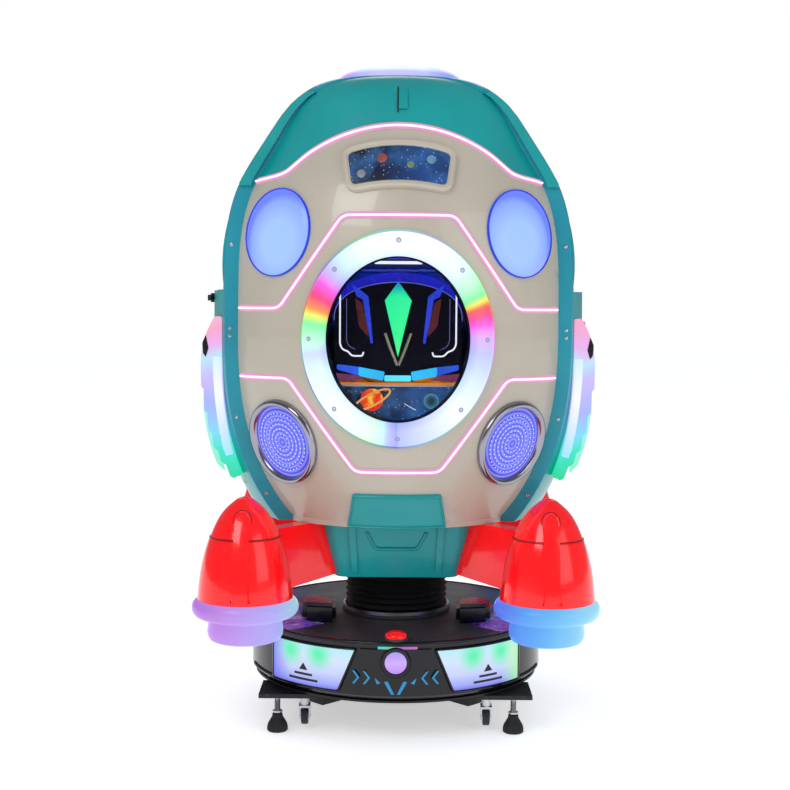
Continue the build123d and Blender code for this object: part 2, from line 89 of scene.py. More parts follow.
def area_light(name, place, target, size, power):
    data = bpy.data.lights.new(name, "AREA")
    data.size = size
    data.energy = power
    light = place_object(name, data, place)
    light.rotation_euler = (Vector(target) - Vector(place)).to_track_quat("-Z", "Y").to_euler()


def background(nodes, tint, strength):
    node = nodes.new("ShaderNodeBackground")
    set_values(node, {"Color": (*tint, 1), "Strength": strength})
    return node.outputs[0]


def build_world():
    """A white surround: bright to look at, softer as light, and dim in reflections to keep gloss deep."""
    world = bpy.data.worlds.new("studio")
    bpy.context.scene.world = world
    world.use_nodes = True
    nodes, links = world.node_tree.nodes, world.node_tree.links
    nodes.clear()
    path, out = nodes.new("ShaderNodeLightPath"), nodes.new("ShaderNodeOutputWorld")
    shine, look = nodes.new("ShaderNodeMixShader"), nodes.new("ShaderNodeMixShader")
    links.new(path.outputs["Is Glossy Ray"], shine.inputs[0])
    links.new(background(nodes, (.95, .97, 1), .62), shine.inputs[1])
    links.new(background(nodes, (.9, .95, 1), .22), shine.inputs[2])
    links.new(path.outputs["Is Camera Ray"], look.inputs[0])
    links.new(shine.outputs[0], look.inputs[1])
    links.new(background(nodes, (1, 1, 1), 1), look.inputs[2])
    links.new(look.outputs[0], out.inputs["Surface"])


def build_lights():
    area_light("key", (-1.8, -3.2, 3.4), (0, 0, 1.2), 1.8, 42)
    area_light("fill", (2.6, -2.8, 1.8), (0, 0, 1.0), 2.2, 20)
    area_light("back", (0, 3.2, 3.0), (0, 0, 1.2), 2.5, 28)
    cabin = bpy.data.lights.new("cabin_glow", "POINT")
    cabin.energy = 2.5
    cabin.color = (.05, .1, 1)
    cabin.shadow_soft_size = .05
    place_object("cabin_glow", cabin, (0, -.12, 1.40))


def build_floor():
    bpy.ops.mesh.primitive_plane_add(size=60, location=(0, 0, -.001))
    floor = bpy.context.object
    floor.name = "floor"
    pale = paint("floor_pale", (.88, .88, .88), roughness=.7, mottle=.005, bump=0, scuffs=0)
    set_values(pale.node_tree.nodes["Principled BSDF"],
        {"Specular IOR Level": .1, "Emission Color": (1, 1, 1, 1), "Emission Strength": .5})
    floor.data.materials.append(pale)
    bpy.context.scene.view_settings.view_transform = "Standard"



# ---------------------------------------------------------------- materials


def blank(name):
    material = bpy.data.materials.new(name)
    material.use_nodes = True
    nodes, links = material.node_tree.nodes, material.node_tree.links
    return material, nodes, links, nodes["Principled BSDF"]


def set_values(node, values):
    for name, value in values.items():
        node.inputs[name].default_value = value


def object_place(nodes):
    """Positions in the object's own space."""
    return nodes.new("ShaderNodeTexCoord").outputs["Object"]


def map_range(nodes, links, value, low, high, new_low=0, new_high=1):
    node = nodes.new("ShaderNodeMapRange")
    set_values(node, {"From Min": low, "From Max": high, "To Min": new_low, "To Max": new_high})
    links.new(value, node.inputs["Value"])
    return node.outputs["Result"]


def float_math(nodes, links, operation, first, second=0):
    node = nodes.new("ShaderNodeMath")
    node.operation = operation
    links.new(first, node.inputs[0])
    if isinstance(second, bpy.types.NodeSocket):
        links.new(second, node.inputs[1])
    else:
        node.inputs[1].default_value = second
    return node.outputs[0]


def vector_math(nodes, links, operation, vector, other=(0, 0, 0)):
    node = nodes.new("ShaderNodeVectorMath")
    node.operation = operation
    links.new(vector, node.inputs[0])
    node.inputs[1].default_value = other
    return node.outputs["Value" if operation in ("LENGTH", "DISTANCE") else "Vector"]


def distance_from(nodes, links, centre):
    return vector_math(nodes, links, "DISTANCE", object_place(nodes), centre)


def cell_distance(nodes, links, scale):
    """Distance from points scattered through the object's own space."""
    cells = nodes.new("ShaderNodeTexVoronoi")
    cells.inputs["Scale"].default_value = scale
    links.new(object_place(nodes), cells.inputs["Vector"])
    return cells.outputs["Distance"]


def mapped_noise(nodes, links, scale, low, high, detail=3):
    """Noise in the object's own space, mapped to a range of values."""
    noise = nodes.new("ShaderNodeTexNoise")
    set_values(noise, {"Scale": scale, "Detail": detail})
    links.new(object_place(nodes), noise.inputs["Vector"])
    return map_range(nodes, links, noise.outputs["Fac"], .3, .7, low, high)


def mix_colour(nodes, links, factor, first, second, blend="MIX"):
    mix = nodes.new("ShaderNodeMix")
    mix.data_type = "RGBA"
    mix.blend_type = blend
    for value, socket in ((factor, mix.inputs["Factor"]), (first, mix.inputs["A"]),
        (second, mix.inputs["B"])):
        if isinstance(value, bpy.types.NodeSocket):
            links.new(value, socket)
        elif isinstance(value, (int, float)):
            socket.default_value = value
        else:
            socket.default_value = (*value[:3], 1)
    return mix.outputs["Result"]


def add_relief(nodes, links, shader, height, strength, distance):
    relief = nodes.new("ShaderNodeBump")
    set_values(relief, {"Strength": strength, "Distance": distance})
    links.new(height, relief.inputs["Height"])
    links.new(relief.outputs["Normal"], shader.inputs["Normal"])


def surface_detail(nodes, links, shader, roughness, grain, bump):
    """Uneven gloss and a fine ripple, so that no surface is perfectly even."""
    gloss = mapped_noise(nodes, links, 7, max(roughness - .05, .02), roughness + .12, 6)
    links.new(gloss, shader.inputs["Roughness"])
    if bump:
        add_relief(nodes, links, shader, mapped_noise(nodes, links, grain, 0, 1), bump, .002)


def paint(name, colour, roughness=.25, metallic=0, coat=0, mottle=.08, grain=90, bump=.06,
    scuff=(.6, .6, .6), scuffs=.04):
    """Painted or moulded finish: slow colour drift, small scuffs, uneven gloss and a fine ripple."""
    material, nodes, links, shader = blank(name)
    darker = [c * (1 - mottle) for c in colour]
    lighter = [min(c * (1 + mottle), 1) for c in colour]
    drift = mix_colour(nodes, links, mapped_noise(nodes, links, 4, 0, 1), darker, lighter)
    marks = mapped_noise(nodes, links, 55, -scuffs * 3, scuffs, 8)
    links.new(mix_colour(nodes, links, marks, drift, scuff), shader.inputs["Base Color"])
    set_values(shader,
        {"Metallic": metallic, "Specular IOR Level": .35, "Coat Weight": coat, "Coat Roughness": .05})
    surface_detail(nodes, links, shader, roughness, grain, bump)
    return material


def object_axis(nodes, links, axis, low, high):
    """0 to 1 along one axis of the object's own space."""
    split = nodes.new("ShaderNodeSeparateXYZ")
    links.new(object_place(nodes), split.inputs[0])
    return map_range(nodes, links, split.outputs[axis], low, high)


def ramp(nodes, links, value, stops):
    node = nodes.new("ShaderNodeValToRGB")
    elements = node.color_ramp.elements
    while len(elements) < len(stops):
        elements.new(.5)
    for element, (place, colour) in zip(elements, stops):
        element.position = place
        element.color = (*colour, 1)
    links.new(value, node.inputs["Fac"])
    return node.outputs["Color"]


def glow_shader(name, colour_of, strength, roughness=.25):
    """A lit translucent moulding: its own light, a soft gloss and uneven brightness."""
    material, nodes, links, shader = blank(name)
    colour = colour_of(nodes, links)
    links.new(colour, shader.inputs["Emission Color"])
    links.new(mix_colour(nodes, links, .9, colour, (.01, .01, .01)), shader.inputs["Base Color"])
    set_values(shader, {"Emission Strength": strength, "Specular IOR Level": .3})
    surface_detail(nodes, links, shader, roughness, 60, .04)
    return material


def glow(name, colour, strength, patchy=.15):
    """One colour of light, brighter and dimmer in soft patches."""

    def pick(nodes, links):
        dim = [c * (1 - patchy) for c in colour]
        return mix_colour(nodes, links, mapped_noise(nodes, links, 14, 0, 1), dim, colour)

    return glow_shader(name, pick, strength)


def glow_along(name, axis, low, high, stops, strength):
    """Light that changes colour along an axis, with slightly wandering borders."""

    def pick(nodes, links):
        place = object_axis(nodes, links, axis, low, high)
        wander = float_math(nodes, links, "ADD", place, mapped_noise(nodes, links, 9, -.04, .04))
        return ramp(nodes, links, wander, stops)

    return glow_shader(name, pick, strength)


def glow_around(name, centre, axes, stops, strength, rim=None):
    """Light that changes colour round an oval, clockwise from the bottom, with painted shade that darkens and
    blues its inner edge.
    """

    def pick(nodes, links):
        shift = vector_math(nodes, links, "SUBTRACT", object_place(nodes), (centre[0], 0, centre[1]))
        shrink = vector_math(nodes, links, "MULTIPLY", shift, (1 / axes[0], 0, 1 / axes[1]))
        split = nodes.new("ShaderNodeSeparateXYZ")
        links.new(shrink, split.inputs[0])
        angle = float_math(nodes, links, "ARCTAN2", split.outputs["X"], split.outputs["Z"])
        colour = ramp(nodes, links, map_range(nodes, links, angle, -math.pi, math.pi), stops)
        if rim is None:
            return colour
        # Painted shade: the rim colour multiplies the light towards the oval's inner edge, so it is darker
        # and bluer there.
        near = map_range(nodes, links, vector_math(nodes, links, "LENGTH", shrink), .85, .97, .75, 0)
        return mix_colour(nodes, links, near, colour, rim, "MULTIPLY")

    return glow_shader(name, pick, strength)


def glow_rings(name, centre, rim, middle, strength):
    """A mirrored lamp: light and dark rings that sink towards the middle, deep blue at the rim."""

    def pick(nodes, links):
        away = distance_from(nodes, links, centre)
        body = ramp(nodes, links, map_range(nodes, links, away, 0, .11),
            [(0, middle), (.62, middle), (1, rim)])
        wave = float_math(nodes, links, "SINE", float_math(nodes, links, "MULTIPLY", away, 520))
        return mix_colour(nodes, links, map_range(nodes, links, wave, -1, 1, 0, .28), body, (.75, .8, 1))

    return glow_shader(name, pick, strength, roughness=.08)


def glow_spot(name, centre, reach, middle, rim, strength):
    """Light that is one colour in the middle and another at a distance."""

    def pick(nodes, links):
        halfway = [(a + b) / 2 for a, b in zip(middle, rim)]
        return ramp(nodes, links, map_range(nodes, links, distance_from(nodes, links, centre), 0, reach),
            [(0, middle), (.45, middle), (.85, halfway), (1, rim)])

    return glow_shader(name, pick, strength)


def space_art(name, strength):
    """A generic night sky: dark at the left, a blue cloud at the right, and scattered stars."""

    def pick(nodes, links):
        across = object_axis(nodes, links, "X", -.16, .16)
        sky = ramp(nodes, links, across,
            [(0, (.002, .003, .012)), (.35, (.004, .010, .05)), (.7, (.02, .09, .35)), (1, (.01, .05, .2))])
        cloud = mix_colour(nodes, links, mapped_noise(nodes, links, 22, -.2, .6, 8), sky, (.06, .28, .75))
        star = map_range(nodes, links, cell_distance(nodes, links, 90), .06, .16, 1, 0)
        return mix_colour(nodes, links, star, cloud, (.8, .9, 1))

    return glow_shader(name, pick, strength)


def two_tone(name, lower, upper, height):
    """Gloss paint in two colours that meet at a height."""
    material, nodes, links, shader = blank(name)
    edge = object_axis(nodes, links, "Z", height - .001, height + .001)
    tone = mix_colour(nodes, links, edge, lower, upper)
    marks = mapped_noise(nodes, links, 4, 0, .1)
    links.new(mix_colour(nodes, links, marks, tone, (.7, .7, .7)), shader.inputs["Base Color"])
    set_values(shader, {"Coat Weight": .5, "Coat Roughness": .05})
    surface_detail(nodes, links, shader, .25, 90, .06)
    return material


PEARL = (.47, .425, .35)
TEAL = (.004, .30, .31)
M = {}


def build_materials():
    M.update(
        pearl=paint("pearl_paint", PEARL, .28, coat=.5, mottle=.05, scuff=(.75, .72, .68)),
        teal=paint("teal_paint", TEAL, .3, coat=.25, mottle=.1, scuff=(.2, .5, .5)),
        # A bluer copy of the teal paint for the hoops: painted light, the blue light of the wing lamps
        # falling on them.
        hoop=paint("hoop_teal_painted_blue_light", (.008, .27, .36), .3, coat=.25, mottle=.1, scuff=(.2, .5, .5)),
        rear=two_tone("rear_paint", PEARL, TEAL, 1.6),
        red=red_with_painted_glow(),
        black=paint("black_gloss", (.003, .003, .006), .14, coat=.12, mottle=.2, scuff=(.05, .05, .08)),
        deck=paint("deck_satin", (.045, .045, .052), .42, mottle=.2, grain=400, bump=.25,
            scuff=(.3, .3, .3), scuffs=.1),
        frame=paint("frame_black", (.012, .012, .013), .45, mottle=.3, grain=300, bump=.2,
            scuff=(.2, .2, .2), scuffs=.1),
        steel=paint("bright_steel", (.55, .56, .58), .28, metallic=1, mottle=.15, grain=200, bump=.05),
        chrome=paint("chrome_plate", (.34, .33, .38), .12, metallic=1, mottle=.05, grain=80, bump=.02),
        rubber=paint("bellows_rubber", (.014, .014, .015), .6, mottle=.3, grain=250, bump=.15,
            scuff=(.2, .2, .2), scuffs=.08),
        tread=paint("caster_tread", (.02, .02, .022), .5, mottle=.3, grain=300, bump=.2),
        console=paint("console_navy", (.0015, .001, .007), .3, coat=.05, mottle=.2, scuff=(.01, .01, .05)),
        cabin=paint("cabin_grey", (.12, .13, .16), .5, mottle=.1, grain=500, bump=.3),
        cast=paint("cast_grey", (.16, .17, .18), .45, metallic=.4, mottle=.15, grain=160, bump=.3),
        seam_red=paint("seam_red", (.30, .001, .004), .3, coat=.2, mottle=.2),
        print_lilac=glow("print_lilac", (.30, .07, .72), .45, .5),
        bronze=paint("bronze_trim", (.35, .3, .22), .25, metallic=.9, mottle=.2),
        dark_red=glow("slat_red", (.13, .004, .008), .6, .5),
        white_glow=glow("neon_core", (1, .86, .96), 1.15, .03),
        pink_glow=glow("neon_pink", (1, .30, .74), .85, .1),
        spill=glow("neon_spill", (.72, .42, .52), .85, .1),
        blue_glow=glow("strip_blue", (.012, .05, .78), .85, .2),
        cool_glow=glow("strip_white", (.8, .86, 1), 1.1, .05),
        # The porthole's screw heads glow lilac: painted light, since they hold no lamp.
        bolt=glow("bolt_painted_glow", (.40, .42, .72), .8, .2),
        edge=glow("visor_edge", (.18, .2, .6), .7, .3),
    )
    M["console"].node_tree.nodes["Principled BSDF"].inputs["Specular IOR Level"].default_value = .08
    M["glass"] = window_glass()
    M["vinyl"] = vinyl("seat_vinyl", (.02, .09, .42))
    M["stitch"] = paint("seat_piping", (.5, .55, .62), .5, mottle=.1, grain=500, bump=.2)


def red_with_painted_glow():
    """Red gloss plastic with a faint painted glow of its own colour."""
    material = paint("red_gloss", (.86, .004, .006), .16, coat=.6, mottle=.1, scuff=(.9, .2, .2))
    # Painted light: a faint red glow that brightens the red.
    set_values(material.node_tree.nodes["Principled BSDF"],
        {"Emission Color": (1, .004, .008, 1), "Emission Strength": .22})
    return material


def window_glass():
    """Clear moulded sheet with faint smears in its gloss."""
    material, nodes, links, shader = blank("window_clear")
    set_values(shader, {"Base Color": (.004, .006, .02, 1), "Alpha": .03, "IOR": 1.2})
    links.new(mapped_noise(nodes, links, 12, .02, .12), shader.inputs["Roughness"])
    return material


def vinyl(name, colour):
    """Padded vinyl with a pebbled grain."""
    material, nodes, links, shader = blank(name)
    drift = mix_colour(nodes, links, mapped_noise(nodes, links, 6, 0, 1), [c * .8 for c in colour], colour)
    links.new(drift, shader.inputs["Base Color"])
    links.new(mapped_noise(nodes, links, 10, .35, .5), shader.inputs["Roughness"])
    add_relief(nodes, links, shader, cell_distance(nodes, links, 420), .35, .0006)
    return material


# ---------------------------------------------------------------- mesh tools


def smooth_curve(points, steps):
    """Points along a natural cubic through the given points, spaced by chord length."""
    data = np.array(points, float)
    knots = np.concatenate(([0], np.cumsum(np.linalg.norm(np.diff(data, axis=0), axis=1))))
    gaps = np.diff(knots)
    size = len(data)
    system, right = np.eye(size), np.zeros_like(data)
    for i in range(1, size - 1):
        system[i, i - 1:i + 2] = gaps[i - 1], 2 * (gaps[i - 1] + gaps[i]), gaps[i]
        right[i] = 6 * ((data[i + 1] - data[i]) / gaps[i] - (data[i] - data[i - 1]) / gaps[i - 1])
    bend = np.linalg.solve(system, right)
    out = []
    for t in np.linspace(0, knots[-1], steps):
        i = min(int(np.searchsorted(knots, t, side="right")) - 1, size - 2)
        a, b, h = knots[i + 1] - t, t - knots[i], gaps[i]
        value = (bend[i] * a**3 + bend[i + 1] * b**3) / (6 * h)
        value += (data[i] / h - bend[i] * h / 6) * a + (data[i + 1] / h - bend[i + 1] * h / 6) * b
        out.append(value)
    return np.array(out)


def shifted(insets):
    """The shell's profile moved inward along its own normal, by one inset per point."""
    moved = []
    for i, (r, z) in enumerate(HULL_PROFILE):
        before, after = HULL_PROFILE[max(i - 1, 0)], HULL_PROFILE[min(i + 1, len(HULL_PROFILE) - 1)]
        dr, dz = after[0] - before[0], after[1] - before[1]
        length = math.hypot(dr, dz)
        moved.append((r - insets[i] * dz / length, z + insets[i] * dr / length))
    return smooth_curve(moved, 400)


HULL_CURVE = shifted([0] * len(HULL_PROFILE))
DOME_CURVE = shifted(DOME_INSETS)


def hull_radius(z):
    return float(np.interp(z, HULL_CURVE[:, 1], HULL_CURVE[:, 0]))


def tunnel_half_width(z):
    """Half the width of the shell where its flat front and back planes cut it."""
    return math.sqrt(hull_radius(z) ** 2 - .25**2)


def dome_radius(z):
    return float(np.interp(z, DOME_CURVE[:, 1], DOME_CURVE[:, 0]))


def on_dome(x, z, proud=0):
    """The point of the front dome at (x, z), moved outward along its normal."""
    r = dome_radius(z)
    slope = (dome_radius(z + .004) - dome_radius(z - .004)) / .008
    y = -math.sqrt(max(r * r - x * x, .0001))
    normal = Vector((x / r, y / r, -slope)).normalized()
    return Vector((x, y, z)) + normal * proud


def finish_mesh(name, bm, material, body="capsule", stands_for=None, sharp=35):
    """A smooth-shaded object from a bmesh, riding on a body."""
    bmesh.ops.remove_doubles(bm, verts=bm.verts, dist=1e-6)
    bmesh.ops.recalc_face_normals(bm, faces=bm.faces)
    mesh = bpy.data.meshes.new(name)
    bm.to_mesh(mesh)
    bm.free()
    mesh.polygons.foreach_set("use_smooth", [True] * len(mesh.polygons))
    mesh.set_sharp_from_angle(angle=math.radians(sharp))
    mesh.materials.append(material)
    piece = place_object(name, mesh)
    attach(piece, body)
    if stands_for:
        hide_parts(stands_for)
    return piece


def make_piece(name, material, add, *shape, body="capsule", slot=None, stands_for=None, **options):
    """An object of one shape, made by one of the add functions below."""
    bm = bmesh.new()
    add(bm, *shape, **options)
    return finish_mesh(name, bm, material, body, stands_for)


def bridge(bm, first, second):
    """Faces between two closed rows of points."""
    count = len(first)
    for i in range(count):
        j = (i + 1) % count
        bm.faces.new((first[i], first[j], second[j], second[i]))


def add_rows(bm, rows, closed_loop=False):
    """Joins closed rows of points into a skin, and caps its ends or joins them to each other."""
    made = [[bm.verts.new(point) for point in row] for row in rows]
    for first, second in zip(made, made[1:]):
        bridge(bm, first, second)
    if closed_loop:
        bridge(bm, made[-1], made[0])
    else:
        bm.faces.new(made[0][::-1])
        bm.faces.new(made[-1])


def circle(radius, height, count):
    return [Vector((radius * math.cos(TAU * i / count), radius * math.sin(TAU * i / count), height))
        for i in range(count)]


def add_turned(bm, profile, place=Matrix(), segments=64):
    """A closed solid turned about the place's Z axis from (radius, height) points, with tips on the axis."""
    rows = [circle(r, h, segments) for r, h in profile if r > 1e-6]
    made = [[bm.verts.new(place @ point) for point in row] for row in rows]
    for first, second in zip(made, made[1:]):
        bridge(bm, first, second)
    for (r, h), row in zip((profile[0], profile[-1]), (made[0], made[-1])):
        if r > 1e-6:
            bm.faces.new(row)
            continue
        tip = bm.verts.new(place @ Vector((0, 0, h)))
        for i in range(segments):
            bm.faces.new((row[i], row[(i + 1) % segments], tip))


def add_turned_ring(bm, section, place=Matrix(), segments=64):
    """A ring turned about the place's Z axis from a closed (radius, height) section."""
    rows = []
    for i in range(segments):
        a = TAU * i / segments
        rows.append([place @ Vector((r * math.cos(a), r * math.sin(a), h)) for r, h in section])
    add_rows(bm, rows, closed_loop=True)


def add_prism(bm, outline, low, high, place=Matrix(), bevel=.002):
    """A straight solid with softened edges, from an outline in the place's XY plane."""
    local = bmesh.new()
    bottom = [local.verts.new((x, y, low)) for x, y in outline]
    face = local.faces.new(bottom)
    top = bmesh.ops.extrude_face_region(local, geom=[face])
    bmesh.ops.translate(local, vec=(0, 0, high - low),
        verts=[v for v in top["geom"] if isinstance(v, bmesh.types.BMVert)])
    bmesh.ops.recalc_face_normals(local, faces=local.faces)
    if bevel:
        bmesh.ops.bevel(local, geom=local.edges, offset=bevel, segments=2, affect="EDGES", clamp_overlap=True)
    bmesh.ops.transform(local, matrix=place, verts=local.verts)
    mesh = bpy.data.meshes.new("scratch")
    local.to_mesh(mesh)
    local.free()
    bm.from_mesh(mesh)
    bpy.data.meshes.remove(mesh)


def rectangle(x, y):
    return [(x[0], y[0]), (x[1], y[0]), (x[1], y[1]), (x[0], y[1])]


def frame_at(origin, outward, up=Vector((0, 0, 1))):
    """A placement whose Z axis points outward and whose Y axis leans up."""
    z = Vector(outward).normalized()
    x = up.cross(z).normalized()
    y = z.cross(x)
    turn = Matrix((x, y, z)).transposed().to_4x4()
    return Matrix.Translation(Vector(origin)) @ turn


def front_place(x, z, y):
    """A placement that faces the front, with X to the right and Y up."""
    return frame_at((x, y, z), (0, -1, 0))


def dome_place(x, z, proud=0):
    point = on_dome(x, z, proud)
    return frame_at(point, on_dome(x, z, .01 + proud) - point)


def ellipse(centre, axes, count=96):
    return [(centre[0] + axes[0] * math.sin(TAU * i / count),
        centre[1] + axes[1] * math.cos(TAU * i / count)) for i in range(count)]


def rounded_path(points, radius, closed=False, step=.012):
    """A polyline with rounded corners, divided into short steps."""
    count = len(points)
    out = []
    for i, point in enumerate(points):
        here = Vector(point)
        if not closed and i in (0, count - 1):
            out.append(here)
            continue
        before, after = Vector(points[i - 1]), Vector(points[(i + 1) % count])
        cut = min(radius, (before - here).length / 2.1, (after - here).length / 2.1)
        start, end = here + (before - here).normalized() * cut, here + (after - here).normalized() * cut
        for k in range(7):
            t = k / 6
            out.append(start * (1 - t) ** 2 + here * 2 * t * (1 - t) + end * t * t)
    dense = []
    for i in range(len(out) if closed else len(out) - 1):
        a, b = out[i], out[(i + 1) % len(out)]
        parts = max(1, round((b - a).length / step))
        dense += [a.lerp(b, k / parts) for k in range(parts)]
    return dense if closed else dense + [out[-1]]


def add_band(bm, path, section, closed, surface=on_dome):
    """A bar along a path on a surface; the section is (across, proud) round its own loop."""
    rows = []
    count = len(path)
    for i in range(count):
        before = path[i - 1] if closed or i > 0 else path[i]
        after = path[(i + 1) % count] if closed or i < count - 1 else path[i]
        along = (Vector(after) - Vector(before)).normalized()
        side = Vector((along.y, -along.x))
        here = Vector(path[i])
        rows.append([surface(here.x + side.x * across, here.y + side.y * across, proud) for across,
            proud in section])
    add_rows(bm, rows, closed_loop=closed)


def arc(centre, axes, count, start=0, end=math.pi, power=1):
    """Points on an oval from one angle to another. A power below 1 squares its shoulders."""
    angles = [start + (end - start) * i / count for i in range(count + 1)]
    return [(centre[0] + axes[0] * math.cos(a), centre[1] + axes[1] * math.sin(a) ** power) for a in angles]


def round_section(half_width, height, base=.0005, steps=8):
    """A low rounded bar: flat underneath and arched on top."""
    return arc((0, base), (half_width, height), steps)


def oval_spot(centre, axes):
    """Places on an oval: a share of the way out, and an angle clockwise from the top."""
    return lambda t, a: (centre[0] + axes[0] * t * math.sin(a), centre[1] + axes[1] * t * math.cos(a))


def lamp_spot(centre, radius):
    """Places on a round lamp that lies flat against the dome, as seen from the front."""
    place = dome_place(*centre)

    def spot(t, a):
        point = place @ Vector((radius * t * math.sin(a), radius * t * math.cos(a), 0))
        return point.x, point.z

    return spot


def rim_of(spot, share=1, count=96):
    return [spot(share, TAU * i / count) for i in range(count)]


def add_disc(bm, spot, height_at, rings=14, segments=72, surface=on_dome, base=.0005):
    """A closed lens on a surface, with its height given by a function of 0 at the middle to 1 at the rim."""
    rows = [[surface(x, z, base) for x, z in rim_of(spot, 1, segments)]]
    for k in range(rings, 0, -1):
        t = k / rings
        rows.append([surface(x, z, height_at(t)) for x, z in rim_of(spot, t, segments)])
    made = [[bm.verts.new(point) for point in row] for row in rows]
    for first, second in zip(made, made[1:]):
        bridge(bm, first, second)
    middle = spot(0, 0)
    tip, under = bm.verts.new(surface(*middle, height_at(0))), bm.verts.new(surface(*middle, base))
    for i in range(segments):
        j = (i + 1) % segments
        bm.faces.new((made[-1][i], made[-1][j], tip))
        bm.faces.new((made[0][j], made[0][i], under))


def add_patch(bm, outline, low, high, surface=on_dome, cell=.012):
    """A panel of a given outline that follows a surface, closed at its edges."""
    flat = bmesh.new()
    flat.faces.new([flat.verts.new((x, 0, z)) for x, z in outline])
    xs, zs = [p[0] for p in outline], [p[1] for p in outline]
    for axis, low_at, high_at in ((0, min(xs), max(xs)), (2, min(zs), max(zs))):
        for k in range(1, max(2, int((high_at - low_at) / cell))):
            at, normal = [0, 0, 0], [0, 0, 0]
            at[axis], normal[axis] = low_at + k * cell, 1
            bmesh.ops.bisect_plane(flat, geom=flat.verts[:] + flat.edges[:] + flat.faces[:], plane_co=at,
                plane_no=normal)
    flat.verts.index_update()
    tops = [bm.verts.new(surface(v.co.x, v.co.z, high)) for v in flat.verts]
    bottoms = [bm.verts.new(surface(v.co.x, v.co.z, low)) for v in flat.verts]
    for face in flat.faces:
        index = [v.index for v in face.verts]
        bm.faces.new([tops[i] for i in index])
        bm.faces.new([bottoms[i] for i in reversed(index)])
    for edge in flat.edges:
        if len(edge.link_faces) == 1:
            a, b = edge.verts[0].index, edge.verts[1].index
            bm.faces.new((tops[a], tops[b], bottoms[b], bottoms[a]))
    flat.free()


def add_bolt(bm, place, radius=.006, height=.003):
    """A domed screw head with a cross slot sunk in it."""
    profile = [(radius, 0), (radius, height * .4), (radius * .8, height * .85), (radius * .4, height),
        (radius * .36, height * .55), (0, height * .5)]
    add_turned(bm, [(0, -.0005), *profile], place, 20)
    for turn in (0, math.pi / 2):
        spin = place @ Matrix.Rotation(turn, 4, "Z")
        add_prism(bm, rectangle((-radius * .3, radius * .3), (-radius * .06, radius * .06)), height * .5,
            height * .8, spin, 0)


# ---------------------------------------------------------------- CAD nodes that keep their own shape


def dress_nodes():
    """Every carried-over node gets a procedural finish."""
    finishes = {
        "pearl": ["front_panel", "marquee"],
        "rear": ["rear_shell"],
        "teal": ["front_hood", "barrel_roof", "barrel_left", "barrel_right", "side_door", "belly_fairing"],
        "hoop": ["front_hoop", "rear_hoop"],
        "red": ["pod_struts", "start_button"],
        "black": ["drum_shell", "headlight"],
        "deck": ["deck_plate", "turntable_plate"],
        "frame": ["base_frame", "floor_beams", "door_latch", "power_inlet"],
        "rubber": ["bellows", "drive_belt"],
        "cabin": ["cabin_floor", "seat_bench", "power_supply"],
        "console": ["console", "steering_wheel"],
        "cast": ["gear_motor", "rock_gearmotor"],
        "glass": ["porthole_glass"],
    }
    finish_of = {node: finish for finish, nodes in finishes.items() for node in nodes}
    for node, piece in NODES.items():
        default = "tread" if node.startswith("caster_wheel") else "steel"
        material = M[finish_of.get(node, default)]
        if not piece.material_slots:
            piece.data.materials.append(material)
        for place in piece.material_slots:
            place.material = material


# ---------------------------------------------------------------- capsule front


def neon(name, path, corner):
    """A lit tube in a glowing channel, with the light it spills beside it."""
    route = rounded_path(path, corner)
    layers = (("spill", .0098, .0008, .0003), ("channel", .0068, .0022, .0006), ("tube", .0034, .0040, .0016))
    for (layer, half_width, height, base), look in zip(layers, ("spill", "pink_glow", "white_glow")):
        make_piece(f"{name}_{layer}", M[look], add_band, route, round_section(half_width, height, base),
            False, slot="lamp_lens")


def hood_line_path():
    left = [(-.405, 1.5735), (-.34, 1.582), (-.31, 1.591)]
    reach, low, high = .253, 1.638, 1.715
    radius = (reach**2 + (high - low) ** 2) / (2 * (high - low))
    bow = [(x, high - radius + math.sqrt(radius**2 - x**2)) for x in (k * reach / 9 for k in range(-9, 10))]
    return left + bow + [(-x, z) for x, z in reversed(left)]


def neon_lines():
    neon("neon_hood", hood_line_path(), .02)
    neon("neon_upper", [(-.452, 1.216), (-.327, 1.217), (-.15, 1.4676), (.15, 1.4676), (.327, 1.217),
        (.452, 1.216)], .02)
    neon("neon_lower", [(-.448, 1.022), (-.301, 1.026), (-.115, .773), (.115, .773), (.301, 1.026),
        (.448, 1.022)], .02)


